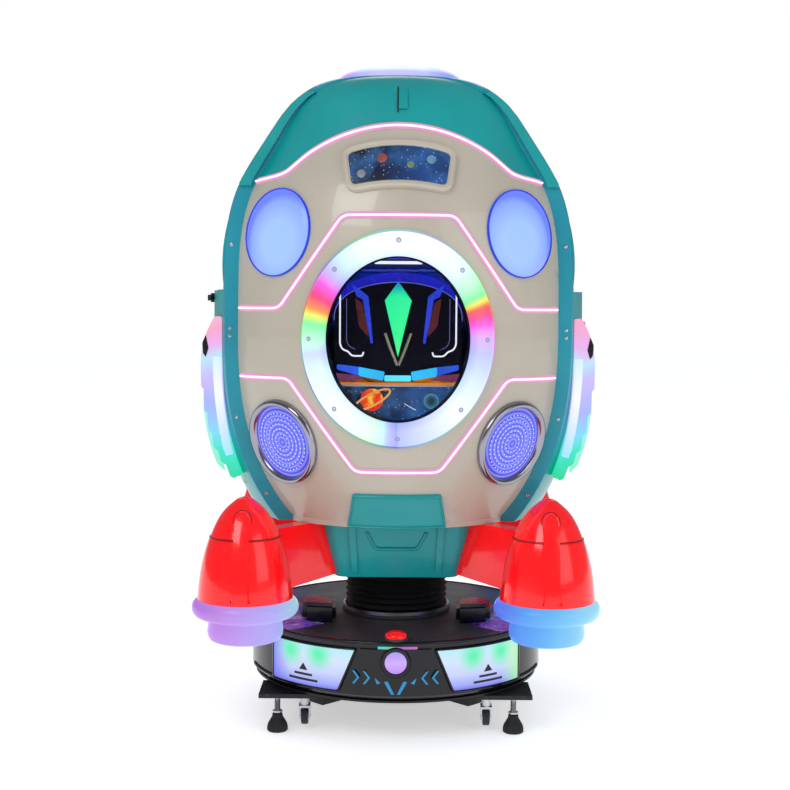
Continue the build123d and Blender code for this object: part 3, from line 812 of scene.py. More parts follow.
def porthole():
    """The lit ring with its bolts in a painted glow, a glowing band painted round its outer edge as the halo
    of its light on the panel, and a thin gasket inside it.
    """
    centre = (0, PORT_Z)
    bm = bmesh.new()
    section = arc((0, .0005), (PORT_HALF_WIDTH, .020), 14, power=.6)
    add_band(bm, ellipse(centre, PORT_MID, 160), section, True)
    white, lilac, mint, green = (.9, 1, 1), (.50, .56, 1), (.55, 1, .72), (.22, 1, .36)
    stops = [(0, (.35, .38, .95)), (.018, lilac), (.03, (.6, 1, .85)), (.05, (.75, 1, .8)), (.12, white),
        (.19, (.75, 1, 1)), (.225, (.6, .68, 1)), (.245, mint), (.275, green), (.288, (.9, .9, .15)),
        (.298, (1, .3, .08)), (.318, (1, .06, .22)), (.340, (1, .12, .75)), (.362, (.55, .5, 1)),
        (.39, (.62, .85, 1)), (.43, (.85, 1, .95)), (.5, white), (.57, white), (.62, (.8, 1, .95)),
        (.66, (.5, 1, .62)), (.680, green), (.689, (.95, .85, .1)), (.697, (1, .12, .08)),
        (.712, (1, .08, .3)), (.726, (1, .12, .75)), (.744, (.75, .4, 1)), (.775, lilac),
        (.82, (.66, .8, 1)), (.88, (.88, .98, 1)), (1, (.45, .5, 1))]
    # The last colour paints shade on the ring's inner edge.
    look = glow_around("ring_lamp", centre, PORT_MID, stops, 1.0, (.62, .68, 1))
    finish_mesh("porthole_ring_lamp", bm, look, stands_for="porthole_ring")
    bm = bmesh.new()
    # Painted light: a glowing band on the panel round the ring stands for the halo of the ring's light.
    add_band(bm, ellipse(centre, (.2605, .2905), 160), round_section(.0042, .004, .0003), True)
    edge = [(0, (.2, .2, .8)), (.05, (.2, .75, .35)), (.12, (.2, .6, .7)), (.18, (.3, .25, .9)),
        (.25, (.15, .8, .3)), (.30, (.85, .25, .15)), (.36, (.3, .3, .9)), (.42, (.3, .8, .45)),
        (.5, (.35, .75, .75)), (.57, (.6, .5, .8)), (.65, (.3, .8, .3)), (.71, (.8, .4, .15)),
        (.76, (.8, .3, .75)), (.82, (.5, .45, .9)), (.88, (.35, .7, .45)), (.95, (.3, .65, .8)),
        (1, (.3, .3, .9))]
    painted_halo = glow_around("ring_painted_halo", centre, PORT_MID, edge, .7)
    finish_mesh("porthole_ring_painted_halo", bm, painted_halo)
    bm = bmesh.new()
    for x, z in ellipse(centre, (.232, .262), 8):
        add_bolt(bm, dome_place(x, z, .0175), .0078, .004)
    # The screw heads wear the painted lilac glow.
    finish_mesh("porthole_bolts", bm, M["bolt"])
    make_piece("porthole_gasket", M["console"], add_band, ellipse(centre, (.188, .219), 120),
        [(.002, .012), (-.002, .012), (-.002, -.004), (.002, -.004)], True, slot="console_dark")


def upper_lamps():
    """Round domed lenses, brighter in the middle, each in a thin rim."""
    for word, side in SIDE_NAMES.items():
        spot = lamp_spot((side * UPPER_LAMP[0], UPPER_LAMP[1]), .119)
        bm = bmesh.new()
        add_disc(bm, spot, lambda t: .004 + .010 * math.sqrt(max(1 - t * t, 0)))
        middle = on_dome(side * .325, 1.40)
        look = glow_spot(f"upper_lens_{word}", middle, .13, (.36, .56, 1), (.15, .22, .98), .95)
        finish_mesh(f"upper_lens_{word}", bm, look, stands_for="upper_lamps")
        make_piece(f"upper_lamp_rim_{word}", M["blue_glow"], add_band, rim_of(spot, 1.012),
            round_section(.0024, .0065), True, slot="blue_lens")


def lower_lamps():
    """Chrome bezels round mirrored lenses with rings of small lights."""
    bezel = bmesh.new()
    for side in SIDES:
        spot = lamp_spot((side * LOWER_LAMP[0], LOWER_LAMP[1]), .113)
        add_band(bezel, rim_of(spot), round_section(.0098, .015, steps=12), True)
    finish_mesh("lower_lamp_bezels", bezel, M["chrome"], stands_for="lower_lamps")
    for word, side in SIDE_NAMES.items():
        centre = (side * LOWER_LAMP[0], LOWER_LAMP[1])
        spot = lamp_spot(centre, .106)
        bm = bmesh.new()
        add_disc(bm, spot, lambda t: .004)
        look = glow_rings(f"mirror_lens_{word}", on_dome(*centre), (.02, .008, .62), (.07, .09, .86), .95)
        finish_mesh(f"lower_lens_{word}", bm, look)
        bm = bmesh.new()
        for share, count in ((.22, 12), (.36, 18), (.5, 26), (.64, 32), (.78, 40)):
            for x, z in rim_of(spot, share, count):
                add_turned(bm, [(.0017, -.0004), (.0014, .0006), (0, .001)], dome_place(x, z, .0042), 8)
        finish_mesh(f"lower_lens_lights_{word}", bm, M["cool_glow"])


def sign():
    """The sign's printed panel with generic planets, in a rounded bezel."""
    inner = [(-.138, 1.632)] + [(x, 1.655 - .022 * (x / .138) ** 2) for x in (-.09, -.045, 0, .045, .09)]
    inner += [(.138, 1.632), (.125, 1.543)]
    inner += [(x, 1.557 - .014 * (x / .125) ** 2) for x in (.08, .04, 0, -.04, -.08)] + [(-.125, 1.543)]
    path = rounded_path(inner, .016, closed=True, step=.008)
    section = [(-.001, .003), (-.001, .012), (.003, .017), (.010, .018), (.016, .013), (.018, .0005)]
    make_piece("sign_bezel", M["pearl"], add_band, path,
        section if not is_clockwise(path) else [(-a, p) for a, p in section], True, stands_for="marquee")
    make_piece("sign_art", space_art("sign_sky", .55), add_patch, path, .001, .009)
    planets = [((-.10, 1.575), .011, (.8, .82, .9)), ((-.045, 1.618), .013, (.9, .2, .15)),
        ((.03, 1.60), .009, (.55, .75, .4)), ((.085, 1.615), .012, (.25, .6, .9))]
    for index, (centre, size, tint) in enumerate(planets):
        make_piece(f"sign_planet_{index}", glow(f"planet_{index}", tint, .45, .7), add_disc,
            oval_spot(centre, (size, size)), lambda t: .0095 + .0015 * (1 - t * t), 6, 32, base=.009)


def is_clockwise(path):
    """True where a closed path runs clockwise seen from the front."""
    return sum((b[0] - a[0]) * (b[1] + a[1]) for a, b in zip(path, path[1:] + path[:1])) > 0


def hood_details():
    """The hood's centre rib and groove, and the proud rim that ends in a corner on each side."""
    make_piece("hood_rib", M["teal"], add_patch, rectangle((-.002, .022), (1.762, 1.852)), .0003, .0022,
        slot="teal_hood")
    make_piece("hood_groove", M["rubber"], add_patch, rectangle((-.0062, -.0026), (1.752, 1.852)), .0003,
        .0012, slot="rubber_black")
    bm = bmesh.new()
    heights = [1.562, 1.572, 1.585, 1.61, 1.64, 1.67, 1.70, 1.73, 1.76, 1.79, 1.81, 1.826]
    for side in SIDES:
        rows = []
        for i, z in enumerate(heights):
            edge = tunnel_half_width(z) + (.006 if i in (1, 2) else .0042)
            inner = edge - .036 + .010 * (i / len(heights))
            front = HOOP_FRONT - .012
            rows.append([(side * edge, -.2562, z), (side * edge, front + .003, z),
                (side * (edge - .003), front, z), (side * inner, front, z), (side * inner, -.2562, z)])
        add_rows(bm, rows)
    finish_mesh("hood_rim", bm, M["teal"])


def hoop_screws():
    bm = bmesh.new()
    for z in (1.396, 1.158, 1.136, .903, .682):
        x = tunnel_half_width(z) - .014
        for side in SIDES:
            for face in (-1, 1):
                add_bolt(bm, frame_at((side * x, face * -HOOP_FRONT, z), (0, face, 0)), .0055, .003)
    finish_mesh("hoop_screws", bm, M["steel"])


def front_insert():
    """The bevelled teal panel at the foot of the front."""
    outline = [(-.118, .704), (.118, .704), (.133, .609), (-.133, .609)]
    make_piece("front_insert", M["teal"], add_patch, outline, .0003, .007, slot="teal_hood")
    path = rounded_path(outline, .004, closed=True)
    make_piece("front_insert_border", M["teal"], add_band, path, round_section(.005, .011), True,
        slot="teal_hood")


def on_belly(x, z, proud=0):
    """The belly's leaning front face."""
    lean = (z - .437) / (.605 - .437)
    return Vector((x, -(.240 + .060 * lean) - proud, z))


def belly_details():
    bm = bmesh.new()
    for side in SIDES:
        add_patch(bm, [(side * .118, .600), (side * .138, .600), (side * .128, .455), (side * .112, .455)],
            .0003, .010, on_belly)
    add_patch(bm, [(-.112, .600), (.112, .600), (.112, .585), (-.112, .585)], .0003, .008, on_belly)
    path = rounded_path([(-.085, .575), (-.06, .525), (.06, .525), (.085, .575)], .012)
    add_band(bm, path, round_section(.005, .006), False, on_belly)
    finish_mesh("belly_ridges", bm, M["teal"])


# ---------------------------------------------------------------- cockpit seen through the porthole


CONSOLE_SIDE = [(-.395, 1.010), (-.395, 1.190), (-.350, 1.240), (-.230, 1.262), (-.140, 1.130),
    (-.160, 1.010), (-.250, .930), (-.340, .930)]
CONSOLE_FRONT = -.397
COWL_FRONT = CONSOLE_FRONT - .0055


def on_cowl(x, z, proud=0):
    return Vector((x, COWL_FRONT - proud, z))


def crowned(z, x):
    """Lowers the console's top towards its sides."""
    return 1.13 + (z - 1.13) * (1 - .55 * (x / .19) ** 2) if z > 1.13 else z


def console_body():
    bm = bmesh.new()
    rows = []
    for k in range(-12, 13):
        x = .19 * k / 12
        soft = .004 if abs(k) == 12 else 0
        rows.append([(x, y + (soft if y < -.3 else -soft), crowned(z, x)) for y, z in CONSOLE_SIDE])
    add_rows(bm, rows)
    add_prism(bm, rectangle((-.06, .06), (-.335, -.23)), .617, .94, bevel=.006)
    finish_mesh("console_cowl", bm, M["console"], stands_for="console", sharp=25)


def mirrored_strip(name, points, width, height, material, depth=CONSOLE_FRONT):
    """A bar on the console's front, and its mirror image."""
    bm = bmesh.new()

    def flat(x, z, proud):
        return Vector((x, depth - proud, z))

    for side in SIDES:
        path = rounded_path([(side * x, z) for x, z in points], .008, step=.01)
        add_band(bm, path, round_section(width, height), False, flat)
    return finish_mesh(name, bm, material)


def front_facets(name, outlines, material, depth, low=0, high=.006, bevel=.0015):
    bm = bmesh.new()
    for outline in outlines:
        add_prism(bm, outline, low, high, front_place(0, 0, depth), bevel)
    return finish_mesh(name, bm, material)


def both(outline):
    return [outline, [(-x, z) for x, z in reversed(outline)]]


def arch(half_width, low, top):
    """A plate outline with an arched top."""
    curve = arc((0, low), (half_width, top - low), 24, power=.8)
    return [(half_width, 1.012)] + curve + [(-half_width, 1.012)]


def console_front():
    """The dark cowl with its lit visor, crystal lamp, slats and outlines."""
    front_facets("console_cowl_plate", [arch(.176, 1.185, 1.289)], M["console"],
        CONSOLE_FRONT, 0, .006, .002)
    visor = [arch(.178, 1.21, 1.318)]
    look = glow("visor_blue", (.004, .006, .52), 1.0, .35)
    front_facets("console_visor", visor, look, CONSOLE_FRONT + .024, 0, .004, .001)
    make_piece("console_visor_edge", M["edge"], add_band, arch(.1765, 1.185, 1.2905)[1:-1],
        round_section(.0012, .0012), False, on_cowl, slot="blue_lens")
    bm = bmesh.new()
    points = [(0, 1.292), (.037, 1.240), (0, 1.084), (-.037, 1.240)]
    outer = [bm.verts.new((x, COWL_FRONT - .004, z)) for x, z in points]
    back = [bm.verts.new((x, COWL_FRONT, z)) for x, z in points]
    ridge = [bm.verts.new((0, COWL_FRONT - .014, z)) for z in (1.262, 1.115)]
    bm.faces.new(back)
    for i in range(4):
        j = (i + 1) % 4
        bm.faces.new((outer[i], outer[j], back[j], back[i]))
    for a, b, c in ((0, 1, 0), (2, 3, 1), (1, 2, 1), (3, 0, 0)):
        bm.faces.new((outer[a], outer[b], ridge[c]))
    bm.faces.new((outer[1], ridge[1], ridge[0]))
    bm.faces.new((outer[3], ridge[0], ridge[1]))
    stops = [(0, (.02, .5, .35)), (.06, (.10, 1, .30)), (.3, (.03, .95, .30)), (.8, (.01, .88, .34)),
        (.93, (.01, .45, .5)), (1, (.01, .2, .6))]
    finish_mesh("crystal_lamp", bm, glow_along("crystal", "Z", 1.084, 1.292, stops, .95),
        sharp=10)
    mirrored_strip("console_v_trim", [(.036, 1.150), (.020, 1.105), (.002, 1.062)], .0045, .004,
        M["bronze"], COWL_FRONT)
    slat = [(.128, 1.284), (.114, 1.250), (.098, 1.243), (.0754, 1.121), (.0686, 1.123), (.082, 1.251),
        (.103, 1.268)]
    front_facets("console_blue_slats", both(slat), M["blue_glow"], COWL_FRONT, 0, .004, .0008)
    panel = [(.119, 1.247), (.100, 1.234), (.084, 1.178), (.082, 1.140), (.108, 1.169)]
    front_facets("console_red_slats", both(panel), M["dark_red"], COWL_FRONT, 0, .003, .0008)
    route = [(.160, 1.262), (.160, 1.118), (.152, 1.104), (.138, 1.100), (.127, 1.087), (.098, 1.087),
        (.095, 1.098)]
    mirrored_strip("console_outline", route, .0022, .003, M["cool_glow"], COWL_FRONT)
    inner = [(.142, 1.245), (.142, 1.128), (.134, 1.112), (.118, 1.106)]
    mirrored_strip("console_inner_line", inner, .0008, .001, M["edge"], COWL_FRONT)


def planet_look():
    """A hot planet mottled orange, red and yellow."""

    def pick(nodes, links):
        stops = [(0, (.7, .02, .005)), (.45, (1, .07, .005)), (.6, (1, .3, .01)), (.75, (.9, .65, .1)),
            (1, (1, .4, .02))]
        return ramp(nodes, links, mapped_noise(nodes, links, 38, 0, 1, 3), stops)

    return glow_shader("planet_hot", pick, .85)


def console_lip():
    """Faceted lit lip, an orange strip, and the picture of planets under them."""
    lip = both([(.168, 1.064), (.168, 1.050), (.108, 1.033), (.098, 1.056)])
    front_facets("lip_outer", lip, glow("lip_blue", (.02, .10, .85), .95, .3),
        CONSOLE_FRONT - .004, 0, .014, .002)
    middle = both([(.108, 1.057), (.108, 1.033), (.040, 1.020), (.036, 1.044)])
    front_facets("lip_middle", middle, glow("lip_cyan", (.015, .52, 1), 1.0, .2),
        CONSOLE_FRONT - .006, 0, .016, .002)
    centre = [[(-.037, 1.034), (.037, 1.034), (.037, 1.018), (-.037, 1.018)]]
    front_facets("lip_centre", centre, glow("lip_bright", (.10, .82, 1), 1.0, .1),
        CONSOLE_FRONT - .004, 0, .012, .002)
    strip = [[(-.185, 1.040), (-.108, 1.034), (-.04, 1.020), (.04, 1.020), (.108, 1.034), (.185, 1.040),
        (.185, 1.008), (-.185, 1.008)]]
    front_facets("lip_orange", strip, glow("orange_strip", (.85, .24, .01), .95, .35),
        CONSOLE_FRONT, 0, .006)
    shade = both([(.175, 1.040), (.115, 1.034), (.088, 1.020), (.150, 1.016), (.175, 1.022)])
    front_facets("lip_shade", shade, glow("shade_brown", (.22, .04, .12), .8, .4),
        CONSOLE_FRONT - .0055, 0, .003, .001)
    edge = [[(-.19, 1.008), (.19, 1.008), (.19, 1.003), (-.19, 1.003)]]
    front_facets("art_edge", edge, M["steel"], CONSOLE_FRONT - .004, 0, .004, .0005)
    front_facets("console_art", [rectangle((-.19, .19), (.845, 1.003))], space_art("console_sky", .5),
        CONSOLE_FRONT, 0, .004, .001)

    def flat(x, z, proud):
        return Vector((x, CONSOLE_FRONT - .0042 - proud, z))

    make_piece("art_planet", planet_look(), add_disc, oval_spot((-.071, .966), (.031, .031)),
        lambda t: .004 * math.sqrt(max(1 - t * t, 0)), surface=flat)
    tilt = Matrix.Rotation(math.radians(-28), 3, "Y")
    ring = [Vector((.056 * math.sin(TAU * i / 64), 0, .016 * math.cos(TAU * i / 64))) for i in range(64)]
    route = [(-.071 + (tilt @ p).x, .966 + (tilt @ p).z) for p in ring]
    make_piece("art_planet_ring", glow("ring_orange", (1, .45, .1), .9, .4), add_band, route,
        round_section(.0028, .0016, .0044), True, flat)
    make_piece("art_moon", glow_spot("moon_blue", (.093, CONSOLE_FRONT, .963), .022, (.01, .05, .09),
        (.12, .4, .6), .7), add_disc, oval_spot((.093, .963), (.021, .021)),
        lambda t: .003 * math.sqrt(max(1 - t * t, 0)), surface=flat)
    make_piece("art_comet", M["cool_glow"], add_prism,
        [(.018, .955), (.019, .956), (.052, .938), (.0505, .937)], .0042, .005,
        front_place(0, 0, CONSOLE_FRONT), 0)


def cabin_lights():
    """A light bar over the window inside, a blue lining on the backboard, and strips up the sides."""
    make_piece("cabin_light_bar", M["cool_glow"], add_prism, rectangle((-.066, .066), (-.004, .004)), 0,
        .010, front_place(0, 1.343, -.432), .002, slot="lamp_lens")
    make_piece("cabin_blue_lining", glow("lining_blue", (.004, .008, .62), 1.0, .35), add_prism,
        rectangle((-.215, .215), (1.372, 1.45)), -.352, -.349, front_place(0, 0, 0), .001, slot="blue_lens")
    bm = bmesh.new()
    for side in SIDES:
        add_prism(bm, rectangle((-.02, .02), (-.16, .16)), 0, .008,
            frame_at((side * .36, -.26, 1.12), (-side, -.2, 0)), .003)
    finish_mesh("cabin_side_strips", bm, glow("side_blue", (.01, .06, .8), .9, .3))


# ---------------------------------------------------------------- pods


POD_SIDE = smooth_curve([(.131, .425), (.122, .504), (.093, .604), (.056, .668), (.024, .696)], 60)


def pod_side(z):
    return float(np.interp(z, POD_SIDE[:, 1], POD_SIDE[:, 0]))


def pods():
    """Bullets with a seam round them and a raised bar up the face that looks away from the middle."""
    for end, sy in END_NAMES.items():
        for word, sx in SIDE_NAMES.items():
            name = f"pod_{end}_{word}"
            origin = Matrix.Translation((sx * POD_XY[0], sy * POD_XY[1], 0))
            bm = bmesh.new()
            heights = sorted({float(z) for _, z in POD_SIDE} | {.592, .5935, .5965, .598})
            profile = [(0, .4255), (.120, .4255)]
            for z in heights:
                groove = .003 if .593 < z < .597 else 0
                step = .0012 if z >= .598 else 0
                profile.append((pod_side(z) - groove - step, z))
            add_turned(bm, profile + [(.012, .7015), (0, .7035)], origin, 72)
            finish_mesh(name, bm, M["red"], stands_for="pod_shells", sharp=40)

            def on_pod(x, z, proud, sx=sx, sy=sy):
                r = pod_side(z) + proud
                return Vector((sx * POD_XY[0] + x,
                    sy * POD_XY[1] + sy * math.sqrt(max(r * r - x * x, .00001)), z))

            bm = bmesh.new()
            crown = arc((0, .648), (.0205, .0205), 12)
            add_patch(bm, [(.0205, .430)] + crown + [(-.0205, .430)], -.002, .0065, on_pod, .01)
            border = [(.0205, .434)] + crown + [(-.0205, .434)]
            add_band(bm, border, round_section(.0032, .0105, -.001), False, on_pod)
            finish_mesh(f"{name}_bar", bm, M["red"])
            bm = bmesh.new()
            joint = [(.0248, .434)] + arc((0, .648), (.0248, .0248), 12) + [(-.0248, .434)]
            add_band(bm, joint, round_section(.0010, .0012), False, on_pod)
            bead = ((.0003, .593), (.0009, .594), (.0009, .596), (.0003, .597))
            ring = [(pod_side(z) + proud, z) for proud, z in bead]
            add_turned_ring(bm, ring + [(pod_side(.595) - .002, .595)], origin, 72)
            finish_mesh(f"{name}_seams", bm, M["seam_red"])


def pod_lamps():
    """The lit rings are lilac and pink on the left, and sky blue on the right."""
    left = [(0, (.40, .16, .66)), (.3, (.52, .26, .80)), (.55, (.50, .34, .88)), (.8, (.42, .42, .92)),
        (1, (.36, .62, .72))]
    right = [(0, (.10, .16, .85)), (.3, (.10, .36, .92)), (.6, (.18, .55, .92)), (1, (.36, .72, .90))]
    for word, sx, stops in (("left", -1, left), ("right", 1, right)):
        look = glow_along(f"pod_light_{word}", "X", sx * .415 - .15, sx * .415 + .15, stops, .9)
        for end, sy in END_NAMES.items():
            place = Matrix.Translation((sx * POD_XY[0], sy * POD_XY[1], 0))
            bm = bmesh.new()
            ring = [(.110, .3745), (.124, .3745)]
            ring += arc((.124, .3995), (.0225, .025), 12, -math.pi / 2, math.pi / 2)[1:-1]
            add_turned_ring(bm, ring + [(.124, .4245), (.110, .4245)], place, 72)
            finish_mesh(f"pod_ring_{end}_{word}", bm, look, stands_for="pod_lamp_rings")
            cup = [(0, .3065), (.086, .3065), (.097, .3115), (.103, .322), (.1045, .336), (.100, .3655),
                (0, .3655)]
            make_piece(f"pod_foot_{end}_{word}", look, add_turned, cup, place, 72,
                stands_for="pod_base_lamps")
            make_piece(f"pod_plate_{end}_{word}", look, add_turned,
                [(0, .366), (.098, .366), (.104, .368), (.106, .3735), (0, .3735)], place, 64,
                slot="lamp_lens")


# ---------------------------------------------------------------- crown and sides


def crown_look():
    """White in the middle, blue at the right end and pink at the left, with painted shade in a darker lilac
    towards the rim and the top.
    """

    def pick(nodes, links):
        ends = [(0, (1, .2, .55)), (.09, (.75, .35, .9)), (.2, (.75, .8, 1)), (.35, (.95, .98, 1)),
            (.68, (.9, .95, 1)), (.88, (.4, .45, 1)), (1, (.25, .28, .9))]
        across = ramp(nodes, links, object_axis(nodes, links, "X", -.2, .2), ends)
        # Painted shade: the colour darkens to lilac towards the rim and the top of the dome.
        bands = [(0, (.5, .48, .9)), (.38, (.6, .6, .95)), (.5, (.9, .95, 1)), (.66, (1, 1, 1)),
            (.8, (.6, .62, 1)), (.93, (.34, .36, .9)), (1, (.3, .32, .85))]
        painted_shade_by_height = ramp(nodes, links, object_axis(nodes, links, "Z", 1.868, 1.948), bands)
        return mix_colour(nodes, links, 1, across, painted_shade_by_height, "MULTIPLY")

    return glow_shader("crown_light", pick, .95)


def crown_lamp():
    top = smooth_curve([(.198, 1.884), (.165, 1.914), (.10, 1.937), (.0, 1.9478)], 24)
    make_piece("crown_lamp", crown_look(), add_turned,
        [(0, 1.8684), (.199, 1.8684), (.2, 1.871)] + [tuple(p) for p in top], segments=96,
        stands_for="dome_lamp")


WING_EDGE = [(.530, 1.190), (.550, 1.150), (.564, 1.110), (.569, 1.060), (.568, .985), (.561, .985),
    (.559, .915)]
WING_EDGE += [(.551, .915), (.547, .862), (.538, .862), (.532, .812), (.521, .812), (.512, .773),
    (.501, .773), (.482, .723)]
WING_INNER = [(.452, .730), (.470, .780), (.492, .860), (.503, .960), (.508, 1.080), (.508, 1.190)]
FEATHERS = [(.985, .902), (.915, .850), (.862, .801), (.812, .762), (.773, .722)]


def wing_outer(z):
    edge = sorted((h, x) for x, h in WING_EDGE)
    return float(np.interp(z, [h for h, _ in edge], [x for _, x in edge]))


def on_fin(x, z, proud):
    return Vector((x, -.2312 - proud, z))


def wings():
    """Lit fins with overlapping feathers, a bright band down the inner side and a dark lozenge."""
    stops = [(0, (.02, .70, .34)), (.14, (.05, .80, .58)), (.28, (.22, .74, .95)), (.44, (.40, .48, 1)),
        (.6, (.60, .52, 1)), (.72, (.50, .80, 1)), (.82, (.85, .45, .85)), (.93, (.95, .40, .60)),
        (1, (.9, .5, .65))]
    look = glow_along("wing_light", "Z", .72, 1.2, stops, .9)
    pale = glow_along("wing_pale", "Z", .72, 1.2,
        [(0, (.25, .95, .6)), (.3, (.4, .95, .85)), (.6, (.55, .9, 1)), (1, (.8, .8, 1))], .85)
    band_look = glow_along("wing_band", "Z", .79, 1.08,
        [(0, (.35, .75, .95)), (.25, (.6, .75, 1)), (.6, (.86, .88, 1)), (1, (.6, .8, 1))], 1)
    for word, side in SIDE_NAMES.items():
        outline = [(side * x, z) for x, z in WING_EDGE + WING_INNER]
        make_piece(f"wing_{word}", look, add_prism, outline, .178, .231, front_place(0, 0, 0), .003,
            stands_for="wing_lamps")
        bm = bmesh.new()
        for index, (top, low) in enumerate(FEATHERS):
            outer_top, outer_low = wing_outer(top - .003) - .002, wing_outer(low + .012) - .002
            plate = [(outer_top, top - .003), (outer_low, low + .010), (outer_low - .012, low),
                (outer_low - .024, low + .008), (outer_top - .026, top - .012)]
            add_prism(bm, [(side * x, z) for x, z in plate], .2312, .2335 + .0004 * index,
                front_place(0, 0, 0), .0012)
        finish_mesh(f"wing_{word}_feathers", bm, look)
        back = [(.565, 1.075), (.5685, 1.05), (.5685, .92), (.560, .86), (.548, .81), (.530, .76),
            (.505, .735), (.515, .79), (.535, .87), (.550, .98)]
        make_piece(f"wing_{word}_back_feather", pale, add_prism, [(side * x, z) for x, z in back], .170,
            .177, front_place(0, 0, 0), .002, slot="lamp_lens")
        line = ((.521, 1.075), (.520, 1.02), (.516, .96), (.509, .90), (.499, .84), (.487, .79))
        band = rounded_path([(side * x, z) for x, z in line], .02)
        make_piece(f"wing_{word}_band", band_look, add_band, band, round_section(.0125, .005, .0003),
            False, on_fin, slot="lamp_lens")
        lozenge = [(side * .553, 1.138), (side * .563, 1.115), (side * .561, 1.085), (side * .553, 1.074),
            (side * .545, 1.100)]
        make_piece(f"wing_{word}_lozenge", M["black"], add_prism, lozenge, .2312, .2385,
            front_place(0, 0, 0), .001, slot="black_gloss")


def side_speaker():
    """A round speaker on the right side, with a pierced grille."""
    z, y = 1.13, -.115
    x = math.sqrt(hull_radius(z) ** 2 - y**2) + .0005
    place = frame_at((x, y, z), (x, y, 0))
    make_piece("side_speaker", M["black"], add_turned,
        [(0, -.004), (.052, -.004), (.053, .004), (.050, .009), (.044, .010), (.041, .006),
        (0, .0065)], place, 64, slot="black_gloss")
    bm = bmesh.new()
    for ring, count in ((.008, 6), (.016, 12), (.024, 18), (.032, 24)):
        for i in range(count):
            a = TAU * i / count
            add_turned_ring(bm, [(.0016, .0064), (.0026, .0064), (.0026, .0074), (.0016, .0074)],
                place @ Matrix.Translation((ring * math.cos(a), ring * math.sin(a), 0)), 10)
    finish_mesh("side_speaker_grille", bm, M["steel"])


def hull_seams():
    """A raised welt under the roof on each side, where the tunnel's walls are joined to it."""
    bm = bmesh.new()
    for side in SIDES:
        x = tunnel_half_width(1.500)
        lip = [(x + .0005, 1.490), (x + .004, 1.492), (x + .004, 1.508), (x + .0005, 1.510)]
        rows = [[(side * across, y, z) for across, z in lip] for y in (-.242, -.08, .08, .242)]
        add_rows(bm, rows)
    finish_mesh("roof_welts", bm, M["teal"])



# ---------------------------------------------------------------- seat


def swell(name, node, depth, inset=.010):
    """A stuffed pad: a block a little smaller than the space, remeshed, puffed up as cloth and applied."""
    low, high, middle = box_of(node)
    bm = bmesh.new()
    bmesh.ops.create_cube(bm, size=1)
    size = high - low - Vector((inset, inset, inset)) * 2
    bmesh.ops.scale(bm, vec=size, verts=bm.verts)
    bmesh.ops.translate(bm, vec=middle, verts=bm.verts)
    bmesh.ops.bevel(bm, geom=bm.edges, offset=.010, segments=3, affect="EDGES")
    mesh = bpy.data.meshes.new(name)
    bm.to_mesh(mesh)
    bm.free()
    pad = place_object(name, mesh)
    bpy.context.view_layer.objects.active = pad
    remesh = pad.modifiers.new("even", "REMESH")
    remesh.mode = "VOXEL"
    remesh.voxel_size = .006
    bpy.ops.object.modifier_apply(modifier="even")
    rest = [vertex.co.copy() for vertex in pad.data.vertices]
    cloth = pad.modifiers.new("puff", "CLOTH")
    cloth.settings.use_pressure = True
    cloth.settings.uniform_pressure_force = 4
    cloth.settings.effector_weights.gravity = 0
    for step in range(1, 21):
        bpy.context.scene.frame_set(step)
    bpy.ops.object.modifier_apply(modifier="puff")
    bpy.context.scene.frame_set(1)
    for vertex, start in zip(pad.data.vertices, rest):
        move = vertex.co - start
        if move.length > depth:
            move *= depth / move.length
        place = start + move
        vertex.co = [min(max(place[i], low[i] + .0005), high[i] - .0005) for i in range(3)]
    return pad


def seat_pads():
    for node, name, channels in (("seat_cushion", "seat_pad", "XY"), ("back_cushion", "back_pad", "XZ")):
        pad = swell(name, node, .012)
        low, high, _ = box_of(node)
        for vertex in pad.data.vertices:
            co = vertex.co
            line = min(abs(co.x - x) for x in (-.15, -.05, .05, .15))
            dip = .006 * math.exp(-(line / .008) ** 2)
            if channels == "XY" and co.z > high.z - .02:
                co.z -= dip
            if channels == "XZ" and co.y < low.y + .02:
                co.y += dip
        smooth = pad.modifiers.new("smooth", "SUBSURF")
        smooth.levels = smooth.render_levels = 1
        pad.data.polygons.foreach_set("use_smooth", [True] * len(pad.data.polygons))
        pad.data.materials.clear()
        pad.data.materials.append(M["vinyl"])
        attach(pad, "capsule")
        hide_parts(node)
        piping(pad, name, low, high, channels)


def piping(pad, name, low, high, channels):
    """A cord sewn round the face of a pad, laid on its puffed surface."""
    tree = BVHTree.FromPolygons([v.co for v in pad.data.vertices], [p.vertices for p in pad.data.polygons])

    def on_pad(u, v, proud):
        start = Vector((u, v, high.z)) if channels == "XY" else Vector((u, low.y, v))
        hit, normal, _, _ = tree.find_nearest(start)
        return hit + normal * proud

    inset = .030
    second = (low.y, high.y) if channels == "XY" else (low.z, high.z)
    corners = rectangle((low.x + inset, high.x - inset), (second[0] + inset, second[1] - inset))
    make_piece(f"{name}_piping", M["stitch"], add_band, rounded_path(corners, .03, closed=True),
        round_section(.0032, .0052, -.001), True, on_pad, slot="seat_vinyl")


# ---------------------------------------------------------------- deck, drum and base


def on_drum(x, z, proud=0):
    r = DRUM_R + proud
    return Vector((x, -math.sqrt(max(r * r - x * x, .0001)), z))


